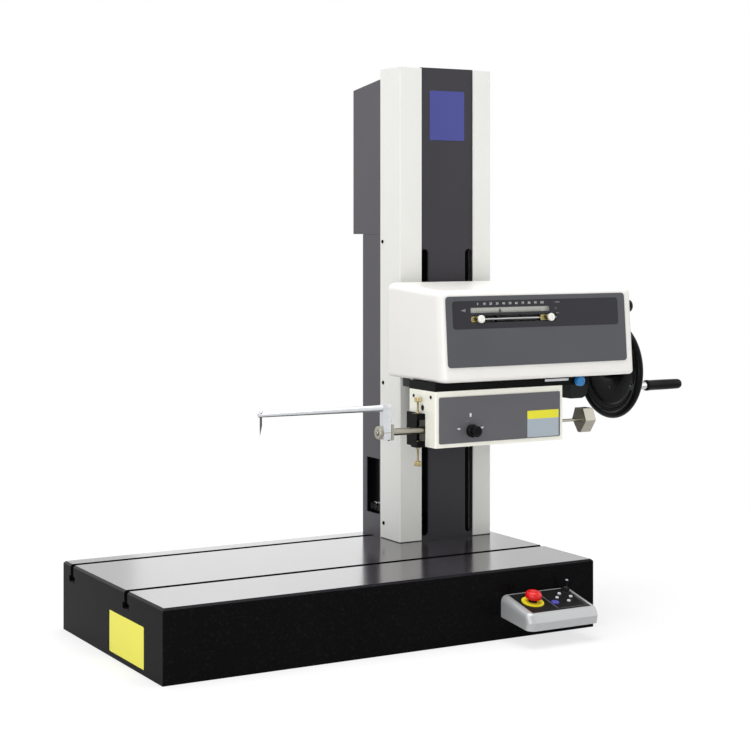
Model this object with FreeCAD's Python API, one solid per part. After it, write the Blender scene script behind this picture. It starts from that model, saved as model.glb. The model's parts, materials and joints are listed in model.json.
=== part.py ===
import FreeCAD, Part
import os
from math import atan, cos, degrees, radians, sin, tan
from FreeCAD import Vector as V

# Contour measuring machine: black stone base, column, height carriage with the horizontal
# drive unit, pickup with its pivoting stylus arm, and the control box on the base front.
# Millimetres. +X runs to the right along the base, +Y away from the front, +Z up.
# The origin is the centre of the base's underside.

# Fits and clearances
RUN = 0.05            # radial clearance of shafts in their bores
SEAT = 0.02           # radial clearance of pieces held fast in a bore
FREE = 0.3            # gap between faces that pass each other
GAP = 0.9             # sideways gap of the carriage arms in the column slits

# Base with two T-slots
BASE_L = 600.0
BASE_W = 317.0
BASE_H = 87.0
BASE_EDGE = 2.5       # ground edge chamfer
NECK_W = 10.0
NECK_H = 14.0
HEAD_W = 20.0
HEAD_H = 8.0
FRONT_SLOT_Y = -50.7
REAR_SLOT_Y = 127.5

# Column shells, panel and covers
COL_LEFT = 139.3
COL_W = 147.1
COL_FRONT = 54.9
COL_H = 642.0         # shell height above the base
SHELL_DEPTH = 51.6
SHELL_T = 3.0
SHELL_EDGE = 2.0
STRIP_LEFT = 34.4
STRIP_RIGHT = 28.8
LIP_DEPTH = 9.0
LIP_T = 2.5
PANEL_T = 3.0
PANEL_RECESS = 2.0
PANEL_OVER = 1.0      # the panel stands this far above the shells
SLIT_W = 12.3
SLIT_LOW = BASE_H + 6.0
SLIT_HIGH = BASE_H + 396.0
CAP_T = 3.0
SHEET = 1.5           # rear cover sheet
LOWER_DEPTH = 48.0
LOWER_TOP = BASE_H + 415.5
SEAM = 0.5
UPPER_DEPTH = 74.8
UPPER_REAR_TOP = BASE_H + COL_H - 24.0
UPPER_FRONT_TOP = BASE_H + COL_H - 13.0
WINDOW_LOW = BASE_H + 30.6
WINDOW_HIGH = BASE_H + 107.0
WINDOW_MARGIN = 2.0
WINDOW_Y_END = 144.2
TRAY_DEPTH = 9.7
PLUG_R = 4.5
PLUG_LEN = 6.0
PLUG_Z = WINDOW_LOW + 8.4
PLUG_PITCH = 10.0

# Column frame and the height drive
FRAME_W = 116.0
FRAME_FRONT = 100.0
FRAME_T = 22.0
FRAME_TOP = BASE_H + COL_H - 89.0
FOOT_DEPTH = 26.0
FOOT_H = 16.0
GUSSET_H = 60.0
GUSSET_T = 10.0
LUG_HEIGHTS = (BASE_H + 153.0, BASE_H + 273.0, BASE_H + 393.0, FRAME_TOP - 20.0)
LUG_W = 12.0
LUG_T = 5.0
RAIL_W = 15.0
RAIL_H = 12.0
RAIL_PITCH = 75.3
RAIL_LOW = BASE_H + 5.0
RAIL_LEN = 398.0
BLOCK_W = 34.0
BLOCK_LEN = 40.0
BLOCK_OVER = 16.0     # block thickness beyond the rail's face
BLOCK_WRAP = 10.0     # how far a block reaches down the rail's sides
SCREW_R = 6.0
SCREW_Y = 84.0
SCREW_LOW = BASE_H + 14.0
SCREW_TOP = FRAME_TOP + 20.0
BEARING_W = 32.0
BEARING_H = 16.0
BEARING_FRONT = 73.0
LOW_BEARING_Z = BASE_H + 13.0
TOP_BEARING_Z = FRAME_TOP - 40.0
NUT_R = 11.0
NUT_LEN = 34.0
NUT_Z = 282.0
MOTOR_Y = 150.0
MOTOR_W = 42.0
MOTOR_H = 60.0
MOTOR_TOP = FRAME_TOP - 20.0
MOTOR_PLATE = 6.0
MOTOR_SHAFT_R = 3.0
MOTOR_EDGE = 4.0
PULLEY_R = 11.0
PULLEY_Z = FRAME_TOP + 5.0
PULLEY_H = 12.0
FLANGE_R = 13.5
FLANGE_T = 1.0
BELT_T = 1.5
BELT_W = 10.0

# Height carriage
ARM_LOW = 231.0       # the carriage arms at rest
ARM_H = 136.0
SADDLE_FRONT = 62.0
SADDLE_T = 10.0
PLATE_T = 22.0
PLATE_W = 128.0
PLATE_EDGE = 3.0
COLUMN_CLEAR = 4.4    # carriage plate to the column's front
HOUSING_EXTRA = 5.0

# Drive unit: beam, guides and feed screw
BEAM_LEFT = 112.0
BEAM_LEN = 286.0
BEAM_WALL = 12.0
BEAM_LOW = 322.0
BEAM_TOP = 384.0
BEAM_PLATE = 12.0
BEAM_DEPTH = 96.0
BEAM_END = 4.0
PAD_LEFT = 152.0
PAD_W = 126.0
PAD_H = 46.0
X_RAIL_END = 6.0
X_RAIL_FRONT_Y = -66.0
X_RAIL_BACK_Y = -16.0
FEED_Y = -12.0
FEED_Z = 315.4
FEED_R = 5.0
HUB_HOUSING_X = 364.0
HUB_HOUSING_W = 29.0
HUB_HOUSING_LOW = 278.0
HUB_HOUSING_H = 60.0
HUB_HOUSING_DEPTH = 37.5
HUB_HOUSING_ROUND = 12.0
END_BEARING_X = 118.0
END_BEARING_W = 14.0
END_BEARING_R = 12.0

# Drive unit cover, its panel and the travel limits
COVER_LEFT = 104.5
COVER_W = 308.0
COVER_FRONT = -106.5
COVER_BACK = 35.5
COVER_LOW = 316.0
COVER_FRONT_TOP = 432.0
COVER_BACK_TOP = 440.0
COVER_LEAN = 9.0      # how far the front leans back over its height
COVER_T = 2.5
COVER_ROUND = 12.0
COVER_TOP_ROUND = 9.0
COVER_LOW_ROUND = 5.0   # rounding and inward lip round the open bottom
BEAM_CLEAR = 9.0      # between the beam and the cover's back wall
PLATE_LEFT = 8.5      # grey panel's margins to the cover's ends
PLATE_RIGHT = 15.7
PANEL_LOW = 335.0
PANEL_HIGH = 425.0
PANEL_THICK = 1.2
PANEL_CORNER = 5.0
SCALE_LEFT = 148.0
SCALE_W = 129.0
SCALE_LOW = 403.5
SCALE_HIGH = 410.0
STRIP_T = 1.0
STRIP_MARGIN = 3.0
RANGE_LEFT = 150.0
RANGE_W = 135.0
RANGE_LOW = 390.8
RANGE_HIGH = 400.4
OPEN_MARGIN = 2.0
ROD_R = 1.75
ROD_DEPTH = 6.0       # rod axis behind the cover's front plane
ROD_BRACKET_W = 5.0
SLIDER_LEFT_X = 164.6
SLIDER_RIGHT_X = 274.2
SLIDER_BEHIND = 13.0
SLIDER_AHEAD = 6.0
SLIDER_H = 8.4
SLIDER_T = 6.4
LIMIT_STEM_R = 1.6
LIMIT_KNOB_R = 5.85
LIMIT_KNOB_T = 7.0
LIMIT_KNOB_GAP = 0.5
POINTER_X = 197.0
POINTER_W = 2.0
POINTER_STEM_T = 2.0
POINTER_STEM_DEPTH = 13.0
POINTER_FOOT_W = 8.0
POINTER_TIP_Z = 408.0
SIDE_KNOB_Y = -78.5
SIDE_KNOB_Z = 406.0
SIDE_KNOB_R = 8.5
SIDE_KNOB_LEN = 10.5
SIDE_SHAFT_R = 3.0
SIDE_BOSS_R = 8.0
SIDE_BOSS_T = 10.0

# Handwheel
WHEEL_X = 442.0
WHEEL_R = 69.4
RIM_R = 5.5
WEB_T = 4.0
WEB_SET = 3.0         # web behind the rim's middle
STEP_R = 49.0
STEP_T = 2.0
HUB_R = 13.0
HUB_LEFT = 12.0
HUB_RIGHT = 9.0
CRANK_Y = -65.5
CRANK_Z = 295.0
CRANK_PIN_R = 4.0
CRANK_PIN_LEFT = 3.0
CRANK_COLLAR_R = 5.5
GRIP_X = 460.0
GRIP_LEN = 61.5
GRIP_R = 7.5
GRIP_WAIST = 6.6

# Horizontal slide and pickup
TABLE_LEFT = 170.0
TABLE_LEN = 120.0
TABLE_T = 12.0
SLIDE_NECK_FRONT = -80.0
SLIDE_NECK_DEPTH = 45.0
FEED_NUT_X = 205.0
FEED_NUT_W = 30.0
FEED_NUT_R = 8.0
NUT_HOUSING_DEPTH = 24.0
NUT_HOUSING_DROP = 12.0
BAND_LEN = 242.0
BAND_LOW = 304.5
BAND_UNDER_COVER = 0.5
PICKUP_LEFT = 103.0
PICKUP_LEN = 199.0
PICKUP_FRONT = -91.0
PICKUP_DEPTH = 63.5
PICKUP_LOW = 233.0
PICKUP_WALL = 2.5
PICKUP_EDGE = 2.0
FACE_MARGIN = 5.5
FACE_LOW = 238.0
FACE_HIGH = 297.0
FACE_T = 1.2
ARM_HOLE_FRONT = -67.5
ARM_HOLE_BACK = -38.5
ARM_HOLE_LOW = 236.0
ARM_HOLE_HIGH = 273.0
ARM_HOLE_ROUND = 6.0
ACCESS_R = 4.0
ACCESS_Z = 282.0
TAIL_HOLE_W = 7.0
TAIL_HOLE_H = 24.0
CLAMP_KNOB_X = 327.0
CLAMP_KNOB_Z = 309.5
CLAMP_KNOB_R = 7.0
CLAMP_KNOB_T = 7.0
CLAMP_SHANK_R = 2.5
CLAMP_SHANK_LEN = 14.0
SELECTOR_X = 157.0
SELECTOR_Z = 253.0
SELECTOR_R = 8.5
SELECTOR_T = 11.0
SELECTOR_SHAFT_R = 3.0
SELECTOR_SHAFT_LEN = 8.0

# Stylus arm
PIVOT_X = 200.0
AXIS_Y = -60.5
AXIS_Z = 253.5
PIVOT_PIN_R = 3.0
PIVOT_HUB_R = 9.0
PIVOT_HUB_W = 18.0
CHEEK_T = 5.0
CHEEK_W = 18.0
CHEEK_GAP = 0.5
SHAFT_R = 4.6
SHAFT_END = 54.0
CHEEK_PLATE_T = 3.5   # flat plate behind the clamp block
CHEEK_PLATE_H = 20.0
STUB_R = 3.0
TAIL_R = 1.95
TAIL_END = 369.0
CLAMP_T = 11.8
CLAMP_DEPTH = 9.6
CLAMP_LOW = 244.3
CLAMP_HIGH = 289.2
THUMB_R = 8.2
THUMB_T = 6.0
THUMB_GAP = 0.3
STYLUS_ARM_Z = 284.5
STYLUS_ARM_R = 4.15
STYLUS_ARM_TIP_R = 2.6
STYLUS_ARM_FRONT = -131.5
STYLUS_X = -128.0
STYLUS_R = 1.45
STYLUS_TOP = 290.0
STYLUS_CONE = 12.0
STYLUS_TIP_Z = 260.0
WEIGHT_X = 351.6
WEIGHT_T = 16.6
WEIGHT_TOP = 15.6
WEIGHT_BOTTOM = 16.9
WEIGHT_TOP_W = 18.0
WEIGHT_MID_W = 31.0
WEIGHT_LOW_W = 6.0
SENSOR_X = 250.0
SENSOR_R = 9.0
SENSOR_H = 9.0
SENSOR_BORE_R = 3.6
CORE_R = 1.5
CORE_DROP = 14.0
STOP_X = 96.0
STOP_R = 1.4
STOP_HEAD_R = 4.8
STOP_HEAD_T = 6.0
STOP_HEAD_TOP = 296.0
STOP_HEAD_LOW = 208.0
STOP_LUG_GAP = 14.0   # lug faces above and below the shaft's axis
STOP_LUG_H = 7.5
STOP_LUG_X = 90.5
STOP_TIP = 0.6        # screw tip beyond its lug
SPINE_FRONT = -53.0
SPINE_BACK = -28.5
SPINE_T = 4.0
LUG_FRONT = -67.0

# Control box on the base front
BOX_LEFT = 157.0
BOX_W = 107.0
BOX_BACK_LOW = 28.0
BOX_BACK_TOP = 55.0
BOX_FRONT_LOW = 21.0
BOX_CREASE_Z = 31.0
BOX_FRONT_TOP = 41.5
BOX_REACH = 62.0
BOX_BOTTOM_REACH = 60.0
BOX_TOP_REACH = 56.5
BOX_CORNER = 9.0
BOX_WALL = 2.5
BOX_PLATE = 1.6
BOX_RIM = 2.0
BOX_SIDE_RIM = 9.5
BOX_END_ROUND = 8.0
BOX_FRONT_RIM = 2.5
ESTOP_X = 185.5
ESTOP_T = 27.8        # distance down the panel from its back edge
ESTOP_RING_R = 14.1
ESTOP_RING_T = 1.2
ESTOP_STEM_R = 5.5
ESTOP_NECK = 5.5
ESTOP_DEEP = 7.0
ESTOP_HEAD_R = 10.5
ESTOP_HEAD_H = 9.5
ESTOP_PIN_R = 2.5
BUTTON_R = 2.25
BUTTON_UP = 1.5
BUTTON_DEEP = 3.0
BUTTON_GAP = 0.15
BUTTON_PLACES = {
    "button_up": (235.0, 15.4),
    "button_left": (225.0, 24.7),
    "button_right": (245.0, 26.2),
    "button_down": (234.6, 36.3),
}
START_X = 214.0
START_T = 36.0
START_R = 4.8
STICK_X = 248.8
STICK_T = 9.0
STICK_BALL_R = 3.0
STICK_BALL_Z = 1.2
STICK_BOSS_R = 5.5
STICK_BOSS_H = 2.6
STICK_R = 1.5
STICK_LEN = 11.8
STICK_TOP_R = 2.6

# Places worked out from the sizes
COL_RIGHT = COL_LEFT + COL_W
COL_TOP = BASE_H + COL_H
SHELL_BACK = COL_FRONT + SHELL_DEPTH
PANEL_LEFT = COL_LEFT + STRIP_LEFT
PANEL_RIGHT = COL_RIGHT - STRIP_RIGHT
MID_X = (PANEL_LEFT + PANEL_RIGHT) / 2
PANEL_FRONT = COL_FRONT + PANEL_RECESS
RAIL_XS = (MID_X - RAIL_PITCH / 2, MID_X + RAIL_PITCH / 2)
ARM_W = SLIT_W - 2 * GAP
ARM_LEFT = PANEL_LEFT + GAP
ARM_RIGHT = PANEL_RIGHT - GAP
CARRIAGE_BACK = COL_FRONT - COLUMN_CLEAR
CARRIAGE_FRONT = CARRIAGE_BACK - PLATE_T
ARM_TOP = ARM_LOW + ARM_H
FRAME_LEFT = MID_X - FRAME_W / 2
FRAME_RIGHT = MID_X + FRAME_W / 2
FRAME_BACK = FRAME_FRONT + FRAME_T
BLOCK_FACE = FRAME_FRONT - RAIL_H - BLOCK_OVER
BEAM_RIGHT = BEAM_LEFT + BEAM_LEN
BEAM_BACK = COVER_BACK - COVER_T - BEAM_CLEAR
BEAM_FACE = BEAM_BACK - BEAM_WALL
BEAM_FRONT = BEAM_FACE - BEAM_DEPTH
X_RAIL_Z = BEAM_TOP - BEAM_PLATE
X_BLOCK_LOW = X_RAIL_Z - RAIL_H - BLOCK_OVER
TABLE_LOW = X_BLOCK_LOW - TABLE_T
BAND_TOP = COVER_LOW - BAND_UNDER_COVER
PICKUP_BACK = PICKUP_FRONT + PICKUP_DEPTH
PICKUP_RIGHT = PICKUP_LEFT + PICKUP_LEN
COVER_RIGHT = COVER_LEFT + COVER_W
LEAN = atan(COVER_LEAN / (COVER_FRONT_TOP - COVER_LOW))
BOX_TILT = atan((BOX_BACK_TOP - BOX_FRONT_TOP) / BOX_TOP_REACH)
BASE_FRONT = -BASE_W / 2


def box(x0, x1, y0, y1, z0, z1):
    """A block between two corners."""
    return Part.makeBox(x1 - x0, y1 - y0, z1 - z0, V(x0, y0, z0))


def rod_x(r, x0, x1, y, z):
    """A round bar along X."""
    return Part.makeCylinder(r, x1 - x0, V(x0, y, z), V(1, 0, 0))


def rod_y(r, y0, y1, x, z):
    """A round bar along Y."""
    return Part.makeCylinder(r, y1 - y0, V(x, y0, z), V(0, 1, 0))


def rod_z(r, z0, z1, x, y):
    """A round bar along Z."""
    return Part.makeCylinder(r, z1 - z0, V(x, y, z0), V(0, 0, 1))


def join(*shapes):
    """One solid from pieces that touch or overlap."""
    return shapes[0].multiFuse(list(shapes[1:])).removeSplitter()


def group(*shapes):
    """Separate solids kept in one node."""
    return Part.makeCompound(list(shapes))


def prism(points, x0, x1):
    """A Y-Z outline drawn out along X."""
    corners = [V(x0, y, z) for y, z in points]
    return Part.Face(Part.makePolygon(corners + corners[:1])).extrude(V(x1 - x0, 0, 0))


def turned(points, y, z):
    """An (x, radius) outline turned about an axis along X."""
    corners = [V(x, y, z + r) for x, r in points]
    face = Part.Face(Part.makePolygon(corners + corners[:1]))
    return face.revolve(V(0, y, z), V(1, 0, 0), 360)


def runs_along(edge, axis):
    """Whether a straight edge runs along the axis."""
    if len(edge.Vertexes) < 2:
        return False
    step = edge.Vertexes[1].Point.sub(edge.Vertexes[0].Point)
    return step.Length > 1e-6 and abs(abs(step.normalize().dot(axis)) - 1) < 1e-4


def rounded(shape, radius, wanted):
    """The shape with its wanted edges rounded."""
    return shape.makeFillet(radius, [edge for edge in shape.Edges if wanted(edge)])


def slot_prism(x0, x1, y0, y1, z0, z1):
    """A slot with round ends at its top and bottom, cut along Y."""
    r = (x1 - x0) / 2
    x = (x0 + x1) / 2
    return join(box(x0, x1, y0, y1, z0 + r, z1 - r), rod_y(r, y0, y1, x, z0 + r), rod_y(r, y0, y1, x, z1 - r))


def on_front(shape):
    """Sets a shape drawn on an upright front plane onto the cover's leaning front."""
    placed = shape.copy()
    placed.rotate(V(0, 0, 0), V(1, 0, 0), -degrees(LEAN))
    placed.translate(V(0, COVER_FRONT, COVER_LOW))
    return placed


def up(z):
    """Distance up the leaning front for a height."""
    return (z - COVER_LOW) / cos(LEAN)


def on_box(shape):
    """Sets a shape drawn on a level panel onto the control box's sloping top."""
    placed = shape.copy()
    placed.rotate(V(0, 0, 0), V(1, 0, 0), degrees(BOX_TILT))
    placed.translate(V(0, BASE_FRONT, BOX_BACK_TOP))
    return placed


def base_block():
    """Stone base with ground edges and two T-slots along its length."""
    half_l = BASE_L / 2
    half_w = BASE_W / 2
    block = box(-half_l, half_l, -half_w, half_w, 0, BASE_H)
    top = [e for e in block.Edges if abs(e.BoundBox.ZMin - BASE_H) < 1e-6]
    block = block.makeChamfer(BASE_EDGE, top)
    for y in (FRONT_SLOT_Y, REAR_SLOT_Y):
        neck = box(-half_l, half_l, y - NECK_W / 2, y + NECK_W / 2, BASE_H - NECK_H, BASE_H)
        head_top = BASE_H - NECK_H
        head = box(-half_l, half_l, y - HEAD_W / 2, y + HEAD_W / 2, head_top - HEAD_H, head_top)
        block = block.cut(neck).cut(head)
    return block


def column_frame():
    """Cast upright with foot, gussets, shell lugs and the motor plate behind its top."""
    upright = box(FRAME_LEFT, FRAME_RIGHT, FRAME_FRONT, FRAME_BACK, BASE_H, FRAME_TOP)
    foot = box(FRAME_LEFT, FRAME_RIGHT, FRAME_BACK, FRAME_BACK + FOOT_DEPTH, BASE_H, BASE_H + FOOT_H)
    parts = [upright, foot]
    foot_top = BASE_H + FOOT_H
    outline = [
        (FRAME_BACK, foot_top),
        (FRAME_BACK + FOOT_DEPTH, foot_top),
        (FRAME_BACK, foot_top + GUSSET_H),
    ]
    for x in RAIL_XS:
        parts.append(prism(outline, x - GUSSET_T / 2, x + GUSSET_T / 2))
    for z in LUG_HEIGHTS:
        lug_back = FRAME_FRONT + LUG_T
        parts.append(box(COL_LEFT + SHELL_T, FRAME_LEFT, FRAME_FRONT, lug_back, z, z + LUG_W))
        parts.append(box(FRAME_RIGHT, COL_RIGHT - SHELL_T, FRAME_FRONT, lug_back, z, z + LUG_W))
    half = MOTOR_W / 2 + 2
    plate = box(MID_X - half, MID_X + half, FRAME_BACK, MOTOR_Y + half, MOTOR_TOP, MOTOR_TOP + MOTOR_PLATE)
    plate = plate.cut(rod_z(PULLEY_R, MOTOR_TOP, MOTOR_TOP + MOTOR_PLATE, MID_X, MOTOR_Y))
    return join(*parts, plate)


def column_shell(left):
    """Half shell: outer wall, front strip and the lip that the panel sits against."""
    outer = COL_LEFT if left else COL_RIGHT
    inner = PANEL_LEFT if left else PANEL_RIGHT
    way = 1 if left else -1
    corners = [
        (outer, COL_FRONT),
        (inner, COL_FRONT),
        (inner, COL_FRONT + LIP_DEPTH),
        (inner - way * LIP_T, COL_FRONT + LIP_DEPTH),
        (inner - way * LIP_T, COL_FRONT + SHELL_T),
        (outer + way * SHELL_T, COL_FRONT + SHELL_T),
        (outer + way * SHELL_T, SHELL_BACK),
        (outer, SHELL_BACK),
    ]
    points = [V(x, y, BASE_H) for x, y in corners]
    shell = Part.Face(Part.makePolygon(points + points[:1])).extrude(V(0, 0, COL_H))

    def front_corner(edge):
        centre = edge.BoundBox.Center
        at_corner = abs(centre.x - outer) < 1e-6 and abs(centre.y - COL_FRONT) < 1e-6
        return at_corner and runs_along(edge, V(0, 0, 1))

    return rounded(shell, SHELL_EDGE, front_corner)


def column_front_panel():
    """Dark centre panel with a slit down each side for the carriage arms."""
    back = PANEL_FRONT + PANEL_T
    panel = box(PANEL_LEFT, PANEL_RIGHT, PANEL_FRONT, back, BASE_H, COL_TOP + PANEL_OVER)
    for x in (PANEL_LEFT, PANEL_RIGHT - SLIT_W):
        panel = panel.cut(slot_prism(x, x + SLIT_W, PANEL_FRONT, back, SLIT_LOW, SLIT_HIGH))
    return panel


def column_top_cap():
    """Lid between the shells."""
    left = COL_LEFT + SHELL_T
    right = COL_RIGHT - SHELL_T
    low = COL_TOP - CAP_T
    lid = box(left, right, PANEL_FRONT + PANEL_T, SHELL_BACK, low, COL_TOP)
    for x0, x1 in ((left, PANEL_LEFT), (PANEL_RIGHT, right)):
        lip_room = box(x0, x1, PANEL_FRONT + PANEL_T, COL_FRONT + LIP_DEPTH, low, COL_TOP)
        lid = lid.cut(lip_room)
    return lid


def rear_cover_lower():
    """Sheet cover behind the column with the connector window in its left wall."""
    back = SHELL_BACK + LOWER_DEPTH
    cover = box(COL_LEFT, COL_RIGHT, SHELL_BACK, back, BASE_H, LOWER_TOP)
    inside = box(COL_LEFT + SHEET, COL_RIGHT - SHEET, SHELL_BACK, back - SHEET, BASE_H, LOWER_TOP)
    cover = cover.cut(inside)
    front = SHELL_BACK + WINDOW_MARGIN
    return cover.cut(box(COL_LEFT, COL_LEFT + SHEET, front, WINDOW_Y_END, WINDOW_LOW, WINDOW_HIGH))


def rear_cover_upper():
    """Deeper sheet cover round the motor, with a sloping top."""
    low = LOWER_TOP + SEAM
    back = SHELL_BACK + UPPER_DEPTH
    outline = [
        (SHELL_BACK, low),
        (back, low),
        (back, UPPER_REAR_TOP),
        (SHELL_BACK, UPPER_FRONT_TOP),
    ]
    inner = [
        (SHELL_BACK, low + SHEET),
        (back - SHEET, low + SHEET),
        (back - SHEET, UPPER_REAR_TOP - SHEET),
        (SHELL_BACK, UPPER_FRONT_TOP - SHEET),
    ]
    cover = prism(outline, COL_LEFT, COL_RIGHT).cut(prism(inner, COL_LEFT + SHEET, COL_RIGHT - SHEET))
    neck_back = SHELL_BACK + LOWER_DEPTH - SHEET
    return cover.cut(box(COL_LEFT + SHEET, COL_RIGHT - SHEET, SHELL_BACK, neck_back, low, low + SHEET))


def connector_panel():
    """Sunk tray behind the cover's window with a row of round connectors."""
    x0 = COL_LEFT + SHEET
    x1 = x0 + TRAY_DEPTH
    front = SHELL_BACK + WINDOW_MARGIN
    y0 = front - SHEET
    y1 = WINDOW_Y_END + SHEET
    tray = box(x0, x1, y0, y1, WINDOW_LOW - SHEET, WINDOW_HIGH + SHEET)
    tray = tray.cut(box(x0, x1 - SHEET, front, WINDOW_Y_END, WINDOW_LOW, WINDOW_HIGH))
    middle = (front + WINDOW_Y_END) / 2
    plugs = []
    for step in (-1, 0, 1):
        plugs.append(rod_x(PLUG_R, x1 - SHEET - PLUG_LEN, x1 - SHEET, middle + step * PLUG_PITCH, PLUG_Z))
    return group(tray, *plugs)


def screw_bearing(z):
    """Bearing block of the height screw on the frame's face."""
    half = BEARING_W / 2
    block = box(MID_X - half, MID_X + half, BEARING_FRONT, FRAME_FRONT, z, z + BEARING_H)
    return block.cut(rod_z(SCREW_R + RUN, z, z + BEARING_H, MID_X, SCREW_Y))


def z_guide_rails():
    """Two upright guide rails and the two bearing blocks of the height screw."""
    top = RAIL_LOW + RAIL_LEN
    rails = []
    for x in RAIL_XS:
        rails.append(box(x - RAIL_W / 2, x + RAIL_W / 2, FRAME_FRONT - RAIL_H, FRAME_FRONT, RAIL_LOW, top))
    return group(*rails, screw_bearing(LOW_BEARING_Z), screw_bearing(TOP_BEARING_Z))


def z_drive_motor():
    """Square motor under its plate."""
    half = MOTOR_W / 2
    low = MOTOR_TOP - MOTOR_H
    body = box(MID_X - half, MID_X + half, MOTOR_Y - half, MOTOR_Y + half, low, MOTOR_TOP)
    body = body.makeChamfer(MOTOR_EDGE, [e for e in body.Edges if runs_along(e, V(0, 0, 1))])
    boss = rod_z(PULLEY_R - SEAT, MOTOR_TOP, MOTOR_TOP + MOTOR_PLATE, MID_X, MOTOR_Y)
    bore = rod_z(MOTOR_SHAFT_R + RUN, low + MOTOR_H / 2, MOTOR_TOP + MOTOR_PLATE, MID_X, MOTOR_Y)
    return join(body, boss).cut(bore)


def pulley(y):
    """Flanged belt pulley about an upright axis."""
    top = PULLEY_Z + PULLEY_H
    wheel = rod_z(PULLEY_R, PULLEY_Z, top, MID_X, y)
    low_flange = rod_z(FLANGE_R, PULLEY_Z - FLANGE_T, PULLEY_Z, MID_X, y)
    return join(wheel, low_flange, rod_z(FLANGE_R, top, top + FLANGE_T, MID_X, y))


def z_screw():
    """Height screw with its pulley on the upper end."""
    bar = rod_z(SCREW_R, SCREW_LOW, SCREW_TOP, MID_X, SCREW_Y)
    bore = rod_z(SCREW_R + SEAT, PULLEY_Z - 2 * FLANGE_T, SCREW_TOP, MID_X, SCREW_Y)
    return group(bar, pulley(SCREW_Y).cut(bore))


def motor_pulley():
    """Motor shaft and pulley in one piece."""
    shaft = rod_z(MOTOR_SHAFT_R, MOTOR_TOP - MOTOR_H / 2, PULLEY_Z, MID_X, MOTOR_Y)
    return join(shaft, pulley(MOTOR_Y))


def belt_loop(r, z0, z1):
    """A filled loop round both pulleys."""
    middle = box(MID_X - r, MID_X + r, SCREW_Y, MOTOR_Y, z0, z1)
    return join(middle, rod_z(r, z0, z1, MID_X, SCREW_Y), rod_z(r, z0, z1, MID_X, MOTOR_Y))


def drive_belt():
    """Belt over the frame's top from the motor to the screw."""
    low = PULLEY_Z + (PULLEY_H - BELT_W) / 2
    inner = PULLEY_R + FREE
    return belt_loop(inner + BELT_T, low, low + BELT_W).cut(belt_loop(inner, low, low + BELT_W))


def z_saddle():
    """Inner plate with two arms out through the slits and the nut's housing."""
    back = SADDLE_FRONT + SADDLE_T
    plate = box(ARM_LEFT, ARM_RIGHT, SADDLE_FRONT, back, ARM_LOW, ARM_TOP)
    left = box(ARM_LEFT, ARM_LEFT + ARM_W, CARRIAGE_BACK, SADDLE_FRONT, ARM_LOW, ARM_TOP)
    right = box(ARM_RIGHT - ARM_W, ARM_RIGHT, CARRIAGE_BACK, SADDLE_FRONT, ARM_LOW, ARM_TOP)
    half = NUT_R + HOUSING_EXTRA
    nut_top = NUT_Z + NUT_LEN
    housing = box(MID_X - half, MID_X + half, SADDLE_FRONT, SCREW_Y + NUT_R + 2, NUT_Z, nut_top)
    saddle = join(plate, left, right, housing)
    return saddle.cut(rod_z(NUT_R + SEAT, NUT_Z, nut_top, MID_X, SCREW_Y))


def z_bearing_blocks():
    """Four runner blocks on the upright rails and the screw's nut."""
    pieces = []
    wrap_back = BLOCK_FACE + BLOCK_OVER + BLOCK_WRAP
    for x in RAIL_XS:
        for z in (ARM_LOW + 5, ARM_TOP - 5 - BLOCK_LEN):
            block = box(x - BLOCK_W / 2, x + BLOCK_W / 2, BLOCK_FACE, wrap_back, z, z + BLOCK_LEN)
            groove_half = RAIL_W / 2 + FREE
            groove_front = FRAME_FRONT - RAIL_H - FREE
            groove = box(x - groove_half, x + groove_half, groove_front, wrap_back, z, z + BLOCK_LEN)
            pieces.append(block.cut(groove))
    nut = rod_z(NUT_R, NUT_Z, NUT_Z + NUT_LEN, MID_X, SCREW_Y)
    pieces.append(nut.cut(rod_z(SCREW_R + RUN, NUT_Z, NUT_Z + NUT_LEN, MID_X, SCREW_Y)))
    return group(*pieces)


def carriage_plate():
    """Cast plate in front of the column that carries the drive unit."""
    left = MID_X - PLATE_W / 2
    plate = box(left, left + PLATE_W, CARRIAGE_FRONT, CARRIAGE_BACK, ARM_LOW, ARM_TOP)
    return plate.makeChamfer(PLATE_EDGE, [e for e in plate.Edges if runs_along(e, V(0, 1, 0))])


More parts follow.
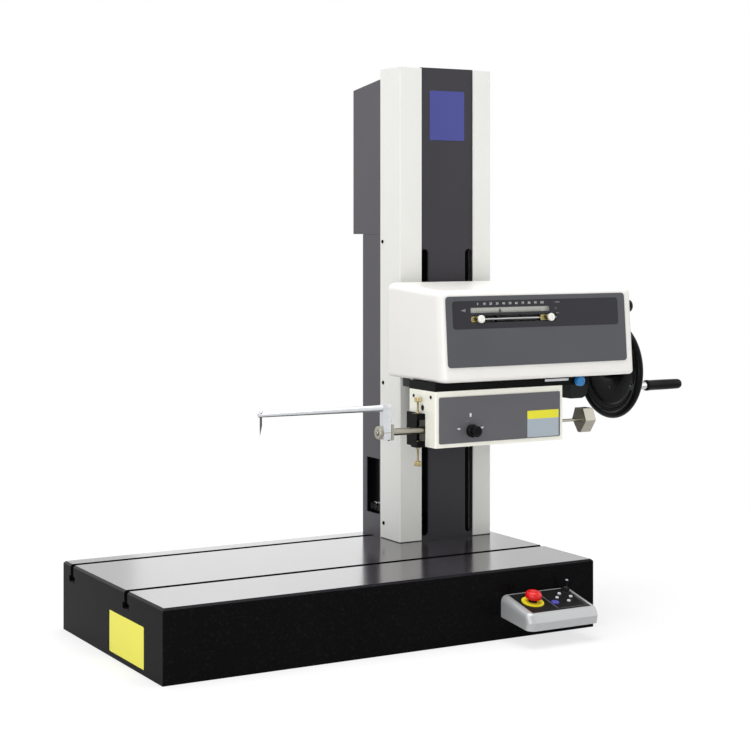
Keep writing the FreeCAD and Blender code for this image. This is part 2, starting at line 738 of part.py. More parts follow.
def x_beam():
    """Cast beam: back wall, top plate, end ribs, rear pad, cover lugs and its two guide rails."""
    back_wall = box(BEAM_LEFT, BEAM_RIGHT, BEAM_FACE, BEAM_BACK, BEAM_LOW, BEAM_TOP)
    top = box(BEAM_LEFT, BEAM_RIGHT, BEAM_FRONT, BEAM_FACE, X_RAIL_Z, BEAM_TOP)
    parts = [back_wall, top]
    for x in (BEAM_LEFT, BEAM_RIGHT - BEAM_END):
        rib = [
            (BEAM_FACE, BEAM_LOW),
            (BEAM_FACE, X_RAIL_Z),
            (BEAM_FRONT, X_RAIL_Z),
            (BEAM_FRONT, X_RAIL_Z - BEAM_PLATE),
        ]
        parts.append(prism(rib, x, x + BEAM_END))
    parts.append(box(PAD_LEFT, PAD_LEFT + PAD_W, BEAM_BACK, CARRIAGE_FRONT, BEAM_LOW, BEAM_LOW + PAD_H))
    for y in (X_RAIL_FRONT_Y, X_RAIL_BACK_Y):
        parts.append(box(COVER_LEFT + COVER_T, BEAM_LEFT, y, y + LUG_W, X_RAIL_Z, BEAM_TOP))
        parts.append(box(BEAM_RIGHT, COVER_RIGHT - COVER_T, y, y + LUG_W, X_RAIL_Z, BEAM_TOP))
    casting = join(*parts)

    def back_corner(edge):
        centre = edge.BoundBox.Center
        at_end = abs(centre.x - BEAM_LEFT) < 1e-6 or abs(centre.x - BEAM_RIGHT) < 1e-6
        return at_end and abs(centre.y - BEAM_BACK) < 1e-6 and runs_along(edge, V(0, 0, 1))

    casting = casting.makeChamfer(BEAM_END + FREE, [e for e in casting.Edges if back_corner(e)])
    rails = []
    for y in (X_RAIL_FRONT_Y, X_RAIL_BACK_Y):
        left = BEAM_LEFT + X_RAIL_END
        right = BEAM_RIGHT - X_RAIL_END
        rails.append(box(left, right, y - RAIL_W / 2, y + RAIL_W / 2, X_RAIL_Z - RAIL_H, X_RAIL_Z))
    return group(casting, *rails)


def feed_screw_bearings():
    """Rounded hub housing at the handwheel end and the small far bearing."""
    right = HUB_HOUSING_X + HUB_HOUSING_W
    front = BEAM_FACE - HUB_HOUSING_DEPTH
    top = HUB_HOUSING_LOW + HUB_HOUSING_H
    housing = box(HUB_HOUSING_X, right, front, BEAM_FACE, HUB_HOUSING_LOW, top)

    def lower_right(edge):
        centre = edge.BoundBox.Center
        at_corner = abs(centre.x - right) < 1e-6 and abs(centre.z - HUB_HOUSING_LOW) < 1e-6
        return at_corner and runs_along(edge, V(0, 1, 0))

    housing = rounded(housing, HUB_HOUSING_ROUND, lower_right)
    housing = housing.cut(rod_x(FEED_R + RUN, HUB_HOUSING_X, right, FEED_Y, FEED_Z))
    x0 = END_BEARING_X
    x1 = END_BEARING_X + END_BEARING_W
    round_end = rod_x(END_BEARING_R, x0, x1, FEED_Y, FEED_Z)
    top = max(FEED_Z, BEAM_LOW) + END_BEARING_R
    arm = box(x0, x1, FEED_Y, BEAM_FACE, FEED_Z - END_BEARING_R, top)
    bearing = join(round_end, arm).cut(rod_x(FEED_R + RUN, x0, x1, FEED_Y, FEED_Z))
    return group(housing, bearing)


def cover_body(inset, side_round, top_round, low_round):
    """The cover's outline drawn in by a wall thickness, its edges rounded."""
    low = COVER_LOW + inset
    front_top = COVER_FRONT_TOP - inset

    def front(z):
        return COVER_FRONT + inset / cos(LEAN) + (z - COVER_LOW) * tan(LEAN)

    outline = [
        (front(low), low),
        (front(front_top), front_top),
        (COVER_BACK - inset, COVER_BACK_TOP - inset),
        (COVER_BACK - inset, low),
    ]
    body = prism(outline, COVER_LEFT + inset, COVER_RIGHT - inset)
    body = rounded(body, side_round, lambda e: e.BoundBox.ZLength > (COVER_FRONT_TOP - COVER_LOW) / 2)
    body = rounded(body, top_round, lambda e: e.BoundBox.ZMin > front_top - 0.5)
    return rounded(body, low_round, lambda e: e.BoundBox.ZMax < low + 0.5)


def cover_mouth():
    """The cover's open bottom inside its rounded lip."""
    lip = COVER_LOW_ROUND
    mouth = box(
        COVER_LEFT + lip,
        COVER_RIGHT - lip,
        COVER_FRONT + lip,
        COVER_BACK - lip,
        COVER_LOW - 1,
        COVER_LOW + 2 * COVER_T,
    )
    return rounded(mouth, COVER_ROUND - lip, lambda e: runs_along(e, V(0, 0, 1)))


def drive_cover():
    """Moulded cover with leaning front, windows, back opening, shaft notch and knob boss."""
    cover = cover_body(0, COVER_ROUND, COVER_TOP_ROUND, COVER_LOW_ROUND)
    wall = COVER_T
    cover = cover.cut(cover_body(wall, COVER_ROUND - wall, COVER_TOP_ROUND - wall, COVER_LOW_ROUND - wall))
    cover = cover.cut(cover_mouth())
    left = min(SCALE_LEFT, RANGE_LEFT) - OPEN_MARGIN
    right = max(SCALE_LEFT + SCALE_W, RANGE_LEFT + RANGE_W) + OPEN_MARGIN
    low = up(RANGE_LOW) - OPEN_MARGIN
    high = up(SCALE_HIGH) + OPEN_MARGIN
    window = on_front(box(left, right, -1, 2 * COVER_T, low, high))
    back_opening = box(
        min(PAD_LEFT, MID_X - PLATE_W / 2) - OPEN_MARGIN,
        max(PAD_LEFT + PAD_W, MID_X + PLATE_W / 2) + OPEN_MARGIN,
        CARRIAGE_FRONT - OPEN_MARGIN,
        COVER_BACK + 1,
        COVER_LOW - 1,
        max(BEAM_LOW + PAD_H, ARM_TOP) + OPEN_MARGIN,
    )
    notch_r = FEED_R + OPEN_MARGIN
    x0 = COVER_RIGHT - 2 * COVER_T
    x1 = COVER_RIGHT + 1
    notch = join(
        rod_x(notch_r, x0, x1, FEED_Y, FEED_Z),
        box(x0, x1, FEED_Y - notch_r, FEED_Y + notch_r, COVER_LOW - notch_r, FEED_Z),
    )
    inner_end = COVER_RIGHT - COVER_T - SIDE_BOSS_T
    boss = rod_x(SIDE_BOSS_R, inner_end, COVER_RIGHT - COVER_T, SIDE_KNOB_Y, SIDE_KNOB_Z)
    knob_hole = rod_x(SIDE_SHAFT_R + RUN, inner_end, x1, SIDE_KNOB_Y, SIDE_KNOB_Z)
    return join(cover, boss).cut(window).cut(back_opening).cut(notch).cut(knob_hole)


def scale_panel():
    """Grey front panel with the scale window and the range slot."""
    left = COVER_LEFT + PLATE_LEFT
    right = COVER_RIGHT - PLATE_RIGHT
    plate = box(left, right, -PANEL_THICK, 0, up(PANEL_LOW), up(PANEL_HIGH))
    plate = rounded(plate, PANEL_CORNER, lambda e: runs_along(e, V(0, 1, 0)))
    window = box(SCALE_LEFT, SCALE_LEFT + SCALE_W, -PANEL_THICK, 0, up(SCALE_LOW), up(SCALE_HIGH))
    low = up(RANGE_LOW)
    high = up(RANGE_HIGH)
    r = (high - low) / 2
    x0 = RANGE_LEFT + r
    x1 = RANGE_LEFT + RANGE_W - r
    middle = (low + high) / 2
    slot = join(
        box(x0, x1, -PANEL_THICK, 0, low, high),
        rod_y(r, -PANEL_THICK, 0, x0, middle),
        rod_y(r, -PANEL_THICK, 0, x1, middle),
    )
    return on_front(plate.cut(window).cut(slot))


def scale_strip():
    """Pale scale behind the window, held on the cover's inner face."""
    left = SCALE_LEFT - STRIP_MARGIN
    right = SCALE_LEFT + SCALE_W + STRIP_MARGIN
    top = up(SCALE_HIGH) + OPEN_MARGIN + 2 * STRIP_MARGIN
    return on_front(box(left, right, COVER_T, COVER_T + STRIP_T, up(SCALE_LOW), top))


def rod_height():
    """Distance of the limit rod up the leaning front."""
    return (up(RANGE_LOW) + up(RANGE_HIGH)) / 2


def limit_rod():
    """Steel rod of the travel limits in its two end brackets."""
    opening_left = min(SCALE_LEFT, RANGE_LEFT) - OPEN_MARGIN
    opening_right = max(SCALE_LEFT + SCALE_W, RANGE_LEFT + RANGE_W) + OPEN_MARGIN
    left = opening_left - ROD_BRACKET_W
    right = opening_right + ROD_BRACKET_W
    s = rod_height()
    bar = rod_x(ROD_R, left, right, ROD_DEPTH, s)
    back = ROD_DEPTH + SLIDER_T / 2
    pieces = [bar]
    for x in (left, opening_right):
        bracket = box(x, x + ROD_BRACKET_W, COVER_T, back, s - SLIDER_H / 2, s + SLIDER_H / 2)
        pieces.append(bracket.cut(rod_x(ROD_R + SEAT, x, x + ROD_BRACKET_W, ROD_DEPTH, s)))
    return on_front(group(*pieces))


def limit_slider(x):
    """Brass slider on the rod with a stem through the slot and a white knob."""
    s = rod_height()
    front = ROD_DEPTH - SLIDER_T / 2
    back = ROD_DEPTH + SLIDER_T / 2
    block = box(x - SLIDER_BEHIND, x + SLIDER_AHEAD, front, back, s - SLIDER_H / 2, s + SLIDER_H / 2)
    block = block.cut(rod_x(ROD_R + RUN, x - SLIDER_BEHIND, x + SLIDER_AHEAD, ROD_DEPTH, s))
    knob_back = -PANEL_THICK - LIMIT_KNOB_GAP
    stem = rod_y(LIMIT_STEM_R, knob_back, front, x, s)
    knob = rod_y(LIMIT_KNOB_R, knob_back - LIMIT_KNOB_T, knob_back, x, s)
    rim = [e for e in knob.Edges if abs(e.BoundBox.Center.y - (knob_back - LIMIT_KNOB_T)) < 1e-6]
    knob = knob.makeFillet(1.2, rim)
    return on_front(join(block, stem, knob))


def scale_pointer():
    """Pointer blade on a bent stem from the horizontal slide."""
    stem_front = POINTER_STEM_DEPTH - POINTER_STEM_T
    x0 = POINTER_X - POINTER_W / 2
    x1 = POINTER_X + POINTER_W / 2
    finger_top = up(SCALE_LOW) - FREE
    finger_low = up(RANGE_HIGH) + FREE
    foot_level = up(X_BLOCK_LOW) - TABLE_T / 2
    stem_low = min(foot_level, finger_low)
    stem_top = max(foot_level, finger_top)
    stem = box(x0, x1, stem_front, POINTER_STEM_DEPTH, stem_low, stem_top)
    finger = box(x0, x1, 1.0, POINTER_STEM_DEPTH, finger_low, finger_top)
    blade = box(x0 + 0.5, x1 - 0.5, 1.0, 2.0, finger_low, up(POINTER_TIP_Z))
    leaning = on_front(join(stem, finger, blade))
    half = POINTER_FOOT_W / 2
    table_front = table_front_y()
    foot_front = COVER_FRONT + POINTER_STEM_DEPTH
    foot = box(POINTER_X - half, POINTER_X + half, foot_front, table_front, TABLE_LOW + 2, X_BLOCK_LOW - 2)
    return join(leaning, foot)


def side_knob():
    """Black knob on the cover's right end with its shaft in the wall."""
    x0 = COVER_RIGHT + FREE
    knob = rod_x(SIDE_KNOB_R, x0, x0 + SIDE_KNOB_LEN, SIDE_KNOB_Y, SIDE_KNOB_Z)
    outer = [e for e in knob.Edges if abs(e.BoundBox.Center.x - (x0 + SIDE_KNOB_LEN)) < 1e-6]
    knob = knob.makeFillet(1.5, outer)
    x_in = COVER_RIGHT - COVER_T - SIDE_BOSS_T
    return join(knob, rod_x(SIDE_SHAFT_R, x_in, x0, SIDE_KNOB_Y, SIDE_KNOB_Z))


def feed_screw():
    """Horizontal feed screw that carries the handwheel on its end."""
    return rod_x(FEED_R, END_BEARING_X, WHEEL_X + HUB_RIGHT, FEED_Y, FEED_Z)


def handwheel():
    """Dished wheel: round rim, stepped web and hub."""
    axis = V(1, 0, 0)
    rim = Part.makeTorus(WHEEL_R - RIM_R, RIM_R, V(WHEEL_X, FEED_Y, FEED_Z), axis)
    web_left = WHEEL_X + WEB_SET - WEB_T / 2
    web_right = web_left + WEB_T
    hub_left = WHEEL_X - HUB_LEFT
    hub_right = WHEEL_X + HUB_RIGHT
    outline = [
        (hub_left, 0),
        (hub_left, HUB_R - 2),
        (hub_left + 2, HUB_R),
        (web_left, HUB_R + 3),
        (web_left, STEP_R),
        (web_left - STEP_T, STEP_R + STEP_T),
        (web_left - STEP_T, WHEEL_R - RIM_R),
        (web_right - STEP_T, WHEEL_R - RIM_R),
        (web_right - STEP_T, STEP_R + STEP_T),
        (web_right, STEP_R),
        (web_right, HUB_R + 3),
        (hub_right - 2, HUB_R),
        (hub_right, HUB_R - 2),
        (hub_right, 0),
    ]
    wheel = join(turned(outline, FEED_Y, FEED_Z), rim)
    wheel = wheel.cut(rod_x(FEED_R + SEAT, hub_left - 1, hub_right + 1, FEED_Y, FEED_Z))
    left, right = crank_web()
    pin_hole = rod_x(CRANK_PIN_R + SEAT, left, right, CRANK_Y, CRANK_Z)
    near_seat = rod_x(CRANK_COLLAR_R + SEAT, hub_left, left, CRANK_Y, CRANK_Z)
    far_seat = rod_x(CRANK_COLLAR_R + SEAT, right, hub_right, CRANK_Y, CRANK_Z)
    return wheel.cut(pin_hole).cut(near_seat).cut(far_seat)


def crank_web():
    """Near and far face of the web where the crank pin goes through."""
    left = WHEEL_X + WEB_SET - WEB_T / 2 - STEP_T
    return left, left + WEB_T


def crank_pin():
    """Steel pin of the crank handle with its collar and inner nut."""
    web_left, web_right = crank_web()
    pin = rod_x(CRANK_PIN_R, web_left - CRANK_PIN_LEFT, GRIP_X + GRIP_LEN - GRIP_R, CRANK_Y, CRANK_Z)
    nut = rod_x(CRANK_COLLAR_R, web_left - CRANK_PIN_LEFT, web_left, CRANK_Y, CRANK_Z)
    collar = rod_x(CRANK_COLLAR_R, web_right, GRIP_X - FREE, CRANK_Y, CRANK_Z)
    return join(pin, nut, collar)


def crank_grip():
    """Round grip, a little waisted, free to turn on its pin."""
    x1 = GRIP_X + GRIP_LEN
    middle = (GRIP_X + x1) / 2
    top = Part.Arc(V(GRIP_X + 3, 0, GRIP_R), V(middle, 0, GRIP_WAIST), V(x1 - 4, 0, GRIP_R)).toShape()
    nose = Part.Arc(V(x1 - 4, 0, GRIP_R), V(x1 - 1.2, 0, GRIP_R - 1.2), V(x1, 0, GRIP_R - 4)).toShape()
    line = [
        V(x1, 0, GRIP_R - 4),
        V(x1, 0, 0),
        V(GRIP_X, 0, 0),
        V(GRIP_X, 0, GRIP_R - 2),
        V(GRIP_X + 3, 0, GRIP_R),
    ]
    wire = Part.Wire([top, nose] + [Part.makeLine(a, b) for a, b in zip(line, line[1:])])
    grip = Part.Face(wire).revolve(V(0, 0, 0), V(1, 0, 0), 360)
    grip.translate(V(0, CRANK_Y, CRANK_Z))
    bore_end = GRIP_X + GRIP_LEN - GRIP_R + FREE
    return grip.cut(rod_x(CRANK_PIN_R + RUN, GRIP_X, bore_end, CRANK_Y, CRANK_Z))


def table_front_y():
    """Front face of the horizontal slide's table."""
    return X_RAIL_FRONT_Y - BLOCK_W / 2


def x_slide_table():
    """Cast table under the runner blocks, its neck and the feed nut's housing."""
    right = TABLE_LEFT + TABLE_LEN
    back = X_RAIL_BACK_Y + BLOCK_W / 2
    table = box(TABLE_LEFT, right, table_front_y(), back, TABLE_LOW, X_BLOCK_LOW)
    neck_back = SLIDE_NECK_FRONT + SLIDE_NECK_DEPTH
    neck = box(TABLE_LEFT, right, SLIDE_NECK_FRONT, neck_back, BAND_TOP, TABLE_LOW)
    nut_right = FEED_NUT_X + FEED_NUT_W
    half = NUT_HOUSING_DEPTH / 2
    housing = box(FEED_NUT_X, nut_right, FEED_Y - half, FEED_Y + half, FEED_Z - NUT_HOUSING_DROP, TABLE_LOW)
    slide = join(table, neck, housing)
    return slide.cut(rod_x(FEED_NUT_R + SEAT, FEED_NUT_X, nut_right, FEED_Y, FEED_Z))


def x_bearing_blocks():
    """Four runner blocks on the horizontal rails and the feed nut."""
    pieces = []
    top = X_BLOCK_LOW + BLOCK_OVER + BLOCK_WRAP
    for y in (X_RAIL_FRONT_Y, X_RAIL_BACK_Y):
        for x in (TABLE_LEFT, TABLE_LEFT + TABLE_LEN - BLOCK_LEN):
            block = box(x, x + BLOCK_LEN, y - BLOCK_W / 2, y + BLOCK_W / 2, X_BLOCK_LOW, top)
            half = RAIL_W / 2 + FREE
            groove_low = X_BLOCK_LOW + BLOCK_OVER - FREE
            pieces.append(block.cut(box(x, x + BLOCK_LEN, y - half, y + half, groove_low, top)))
    x1 = FEED_NUT_X + FEED_NUT_W
    nut = rod_x(FEED_NUT_R, FEED_NUT_X, x1, FEED_Y, FEED_Z)
    pieces.append(nut.cut(rod_x(FEED_R + RUN, FEED_NUT_X, x1, FEED_Y, FEED_Z)))
    return group(*pieces)


def x_slide_band():
    """Long black bar between the cover and the pickup."""
    right = PICKUP_LEFT + BAND_LEN
    bar = box(PICKUP_LEFT, right, PICKUP_FRONT, PICKUP_BACK, BAND_LOW, BAND_TOP)
    bar = bar.makeChamfer(1.0, [e for e in bar.Edges if runs_along(e, V(0, 0, 1))])
    y1 = PICKUP_FRONT + CLAMP_SHANK_LEN + FREE
    return bar.cut(rod_y(CLAMP_SHANK_R + RUN, PICKUP_FRONT, y1, CLAMP_KNOB_X, CLAMP_KNOB_Z))


def clamp_knob():
    """Blue clamp knob at the band's right end."""
    front = PICKUP_FRONT - FREE - CLAMP_KNOB_T
    knob = rod_y(CLAMP_KNOB_R, front, PICKUP_FRONT - FREE, CLAMP_KNOB_X, CLAMP_KNOB_Z)
    knob = knob.makeFillet(1.5, [e for e in knob.Edges if abs(e.BoundBox.Center.y - front) < 1e-6])
    shank_end = PICKUP_FRONT + CLAMP_SHANK_LEN
    return join(knob, rod_y(CLAMP_SHANK_R, PICKUP_FRONT - FREE, shank_end, CLAMP_KNOB_X, CLAMP_KNOB_Z))


def pickup_housing():
    """Pickup case, open at the top under the band, with its end openings."""
    case = box(PICKUP_LEFT, PICKUP_RIGHT, PICKUP_FRONT, PICKUP_BACK, PICKUP_LOW, BAND_LOW)
    case = rounded(case, PICKUP_EDGE, lambda e: runs_along(e, V(0, 0, 1)))
    wall = PICKUP_WALL
    inside = box(
        PICKUP_LEFT + wall,
        PICKUP_RIGHT - wall,
        PICKUP_FRONT + wall,
        PICKUP_BACK - wall,
        PICKUP_LOW + wall,
        BAND_LOW,
    )
    x1 = PICKUP_LEFT + wall
    arm_hole = box(PICKUP_LEFT, x1, ARM_HOLE_FRONT, ARM_HOLE_BACK, ARM_HOLE_LOW, ARM_HOLE_HIGH)
    arm_hole = rounded(arm_hole, ARM_HOLE_ROUND, lambda e: runs_along(e, V(1, 0, 0)))
    access = rod_x(ACCESS_R, PICKUP_LEFT, x1, AXIS_Y, ACCESS_Z)
    x0 = PICKUP_RIGHT - wall
    wide = TAIL_HOLE_W / 2
    high = TAIL_HOLE_H / 2
    tail = box(x0, PICKUP_RIGHT, AXIS_Y - wide, AXIS_Y + wide, AXIS_Z - high, AXIS_Z + high)
    shaft = rod_y(SELECTOR_SHAFT_R + RUN, PICKUP_FRONT, PICKUP_FRONT + wall, SELECTOR_X, SELECTOR_Z)
    return case.cut(inside).cut(arm_hole).cut(access).cut(tail).cut(shaft)


def pickup_front_panel():
    """Grey plate on the pickup's front."""
    front = PICKUP_FRONT - FACE_T
    left = PICKUP_LEFT + FACE_MARGIN
    right = PICKUP_RIGHT - FACE_MARGIN
    plate = box(left, right, front, PICKUP_FRONT, FACE_LOW, FACE_HIGH)
    plate = rounded(plate, PICKUP_EDGE, lambda e: runs_along(e, V(0, 1, 0)))
    return plate.cut(rod_y(SELECTOR_SHAFT_R + RUN, front, PICKUP_FRONT, SELECTOR_X, SELECTOR_Z))


def selector_knob():
    """Black selector knob with two finger flats."""
    back = PICKUP_FRONT - FACE_T - FREE
    front = back - SELECTOR_T
    knob = rod_y(SELECTOR_R, front, back, SELECTOR_X, SELECTOR_Z)
    knob = knob.makeFillet(1.2, [e for e in knob.Edges if abs(e.BoundBox.Center.y - front) < 1e-6])
    for side in (-1, 1):
        x = SELECTOR_X + side * SELECTOR_R * 1.5
        knob = knob.cut(rod_y(SELECTOR_R * 0.8, front - 1, front + SELECTOR_T * 0.6, x, SELECTOR_Z))
    shaft_end = PICKUP_FRONT + SELECTOR_SHAFT_LEN
    return join(knob, rod_y(SELECTOR_SHAFT_R, back, shaft_end, SELECTOR_X, SELECTOR_Z))


def pivot_block():
    """Fork on the case's floor with the arm's pivot pin."""
    half_hub = PIVOT_HUB_W / 2 + CHEEK_GAP
    floor = PICKUP_LOW + PICKUP_WALL
    top = AXIS_Z + CHEEK_W / 2
    x0 = PIVOT_X - CHEEK_W / 2
    x1 = PIVOT_X + CHEEK_W / 2
    pieces = []
    for side in (-1, 1):
        near = AXIS_Y + side * half_hub
        far = near + side * CHEEK_T
        cheek = box(x0, x1, min(near, far), max(near, far), floor, top)
        pieces.append(cheek)
    saddle = box(x0, x1, AXIS_Y - half_hub, AXIS_Y + half_hub, floor, floor + CHEEK_T)
    fork = join(*pieces, saddle)
    ends = half_hub + CHEEK_T
    fork = fork.cut(rod_y(PIVOT_PIN_R + SEAT, AXIS_Y - ends, AXIS_Y + ends, PIVOT_X, AXIS_Z))
    return group(fork, rod_y(PIVOT_PIN_R, AXIS_Y - ends, AXIS_Y + ends, PIVOT_X, AXIS_Z))


def displacement_sensor():
    """Round sensor coil on the case's floor under the arm's tail."""
    floor = PICKUP_LOW + PICKUP_WALL
    coil = rod_z(SENSOR_R, floor, floor + SENSOR_H, SENSOR_X, AXIS_Y)
    return coil.cut(rod_z(SENSOR_BORE_R, floor, floor + SENSOR_H, SENSOR_X, AXIS_Y))


def limit_bracket():
    """Black bracket on the case's end with a lug above and below the arm shaft."""
    low = AXIS_Z - STOP_LUG_GAP - STOP_LUG_H
    high = AXIS_Z + STOP_LUG_GAP + STOP_LUG_H
    spine = box(PICKUP_LEFT - SPINE_T, PICKUP_LEFT, SPINE_FRONT, SPINE_BACK, low, high)
    pieces = [spine]
    for z in (low, high - STOP_LUG_H):
        pieces.append(box(STOP_LUG_X, PICKUP_LEFT, LUG_FRONT, SPINE_FRONT, z, z + STOP_LUG_H))
    return join(*pieces).cut(rod_z(STOP_R + RUN, low, high, STOP_X, AXIS_Y))


def stop_screw(upper):
    """Knurled stop screw through a lug, pointing at the arm shaft."""
    if upper:
        tip = AXIS_Z + STOP_LUG_GAP - STOP_TIP
        shank = rod_z(STOP_R, tip, STOP_HEAD_TOP - STOP_HEAD_T, STOP_X, AXIS_Y)
        head = rod_z(STOP_HEAD_R, STOP_HEAD_TOP - STOP_HEAD_T, STOP_HEAD_TOP, STOP_X, AXIS_Y)
    else:
        tip = AXIS_Z - STOP_LUG_GAP + STOP_TIP
        shank = rod_z(STOP_R, STOP_HEAD_LOW + STOP_HEAD_T, tip, STOP_X, AXIS_Y)
        head = rod_z(STOP_HEAD_R, STOP_HEAD_LOW, STOP_HEAD_LOW + STOP_HEAD_T, STOP_X, AXIS_Y)
    head = head.makeChamfer(0.6, [e for e in head.Edges if len(e.Vertexes) == 1])
    return join(shank, head)


def arm_shaft():
    """Measuring shaft, hub, clamp plate, thin tail and the sensor's core in one assembly."""
    hub = rod_y(PIVOT_HUB_R, AXIS_Y - PIVOT_HUB_W / 2, AXIS_Y + PIVOT_HUB_W / 2, PIVOT_X, AXIS_Z)
    main = rod_x(SHAFT_R, SHAFT_END, PIVOT_X, AXIS_Y, AXIS_Z)
    x0 = SHAFT_END + FREE
    half = CLAMP_DEPTH / 2
    high = CHEEK_PLATE_H / 2
    plate = box(x0, x0 + CHEEK_PLATE_T, AXIS_Y - half, AXIS_Y + half, AXIS_Z - high, AXIS_Z + high)
    stub_end = SHAFT_END - CLAMP_T - THUMB_GAP - THUMB_T * 0.8
    stub = rod_x(STUB_R, stub_end, SHAFT_END, AXIS_Y, AXIS_Z)
    tail = rod_x(TAIL_R, PIVOT_X, TAIL_END, AXIS_Y, AXIS_Z)
    core = rod_z(CORE_R, AXIS_Z - CORE_DROP, AXIS_Z, SENSOR_X, AXIS_Y)
    shaft = join(hub, main, plate, stub, tail, core)
    ends = PIVOT_HUB_W / 2
    return shaft.cut(rod_y(PIVOT_PIN_R + RUN, AXIS_Y - ends, AXIS_Y + ends, PIVOT_X, AXIS_Z))


def balance_weight():
    """Six-sided weight on the tail, widest at the rod's height."""
    outline = [
        (AXIS_Y - WEIGHT_TOP_W / 2, AXIS_Z + WEIGHT_TOP),
        (AXIS_Y + WEIGHT_TOP_W / 2, AXIS_Z + WEIGHT_TOP),
        (AXIS_Y + WEIGHT_MID_W / 2, AXIS_Z),
        (AXIS_Y + WEIGHT_LOW_W / 2, AXIS_Z - WEIGHT_BOTTOM),
        (AXIS_Y - WEIGHT_LOW_W / 2, AXIS_Z - WEIGHT_BOTTOM),
        (AXIS_Y - WEIGHT_MID_W / 2, AXIS_Z),
    ]
    right = WEIGHT_X + WEIGHT_T
    weight = prism(outline, WEIGHT_X, right)
    return weight.cut(rod_x(TAIL_R + SEAT, WEIGHT_X, right, AXIS_Y, AXIS_Z))


def clamp_block():
    """Clamp block that joins the stylus arm to the shaft's end."""
    x0 = SHAFT_END - CLAMP_T
    half = CLAMP_DEPTH / 2
    block = box(x0, SHAFT_END, AXIS_Y - half, AXIS_Y + half, CLAMP_LOW, CLAMP_HIGH)
    block = block.cut(rod_x(STUB_R + SEAT, x0, SHAFT_END, AXIS_Y, AXIS_Z))
    return block.cut(rod_x(STYLUS_ARM_R + SEAT, x0, SHAFT_END, AXIS_Y, STYLUS_ARM_Z))


def thumb_knob():
    """Knurled thumb nut on the shaft's end."""
    x1 = SHAFT_END - CLAMP_T - THUMB_GAP
    x0 = x1 - THUMB_T
    knob = rod_x(THUMB_R, x0, x1, AXIS_Y, AXIS_Z)
    knob = knob.makeChamfer(0.8, [e for e in knob.Edges if len(e.Vertexes) == 1])
    return knob.cut(rod_x(STUB_R + RUN, x1 - THUMB_T * 0.85, x1, AXIS_Y, AXIS_Z))


def stylus_arm():
    """Tapered arm from the clamp block out to the stylus, with a plain end in the block."""
    taper_end = SHAFT_END - CLAMP_T
    plug = rod_x(STYLUS_ARM_R, taper_end, SHAFT_END, AXIS_Y, STYLUS_ARM_Z)
    length = taper_end - STYLUS_ARM_FRONT
    spot = V(STYLUS_ARM_FRONT, AXIS_Y, STYLUS_ARM_Z)
    arm = Part.makeCone(STYLUS_ARM_TIP_R, STYLUS_ARM_R, length, spot, V(1, 0, 0))
    arm = join(arm, plug)
    return arm.cut(rod_z(STYLUS_R + SEAT, STYLUS_TIP_Z, STYLUS_TOP, STYLUS_X, AXIS_Y))


def stylus():
    """Needle with a long conical point, held in the arm's end."""
    top = STYLUS_ARM_Z + STYLUS_ARM_R
    shank = rod_z(STYLUS_R, STYLUS_TIP_Z + STYLUS_CONE, top, STYLUS_X, AXIS_Y)
    point = Part.makeCone(0.15, STYLUS_R, STYLUS_CONE, V(STYLUS_X, AXIS_Y, STYLUS_TIP_Z), V(0, 0, 1))
    head = rod_z(STYLUS_R + 0.6, top, STYLUS_TOP, STYLUS_X, AXIS_Y)
    return join(shank, point, head)


def control_box_shell():
    """Sloping case hung on the base front, open at the top for its panel."""
    reach = BASE_FRONT
    outline = [
        (reach, BOX_BACK_LOW),
        (reach - BOX_BOTTOM_REACH, BOX_FRONT_LOW),
        (reach - BOX_REACH, BOX_CREASE_Z),
        (reach - BOX_TOP_REACH, BOX_FRONT_TOP),
        (reach, BOX_BACK_TOP),
    ]
    right = BOX_LEFT + BOX_W
    case = prism(outline, BOX_LEFT, right)

    def front_corner(edge):
        centre = edge.BoundBox.Center
        at_side = abs(centre.x - BOX_LEFT) < 1e-6 or abs(centre.x - right) < 1e-6
        front_edge = edge.BoundBox.YMax < reach - BOX_TOP_REACH + 0.1
        return at_side and front_edge and edge.BoundBox.ZLength > 5

    def end_top(edge):
        bounds = edge.BoundBox
        return bounds.XLength < BOX_CORNER + 0.1 and bounds.ZMin > BOX_FRONT_TOP - 0.1

    case = rounded(case, BOX_CORNER, front_corner)
    case = rounded(case, BOX_END_ROUND, end_top)
    wall = BOX_WALL
    floor_slope = (BOX_BACK_LOW - BOX_FRONT_LOW) / BOX_BOTTOM_REACH
    inner_front = reach - BOX_TOP_REACH + BOX_FRONT_RIM + 2 * wall
    inside = [
        (reach - wall, BOX_BACK_LOW + wall),
        (inner_front, BOX_BACK_LOW + wall - floor_slope * (reach - inner_front)),
        (inner_front, BOX_BACK_TOP + 1),
        (reach - wall, BOX_BACK_TOP + 1),
    ]
    side = BOX_SIDE_RIM + wall
    case = case.cut(prism(inside, BOX_LEFT + side, right - side))
    slope_len = BOX_TOP_REACH / cos(BOX_TILT)
    left = BOX_LEFT + BOX_SIDE_RIM
    rabbet = box(left, right - BOX_SIDE_RIM, -slope_len + BOX_FRONT_RIM, -BOX_RIM, -BOX_PLATE, 1)
    return case.cut(on_box(rabbet))


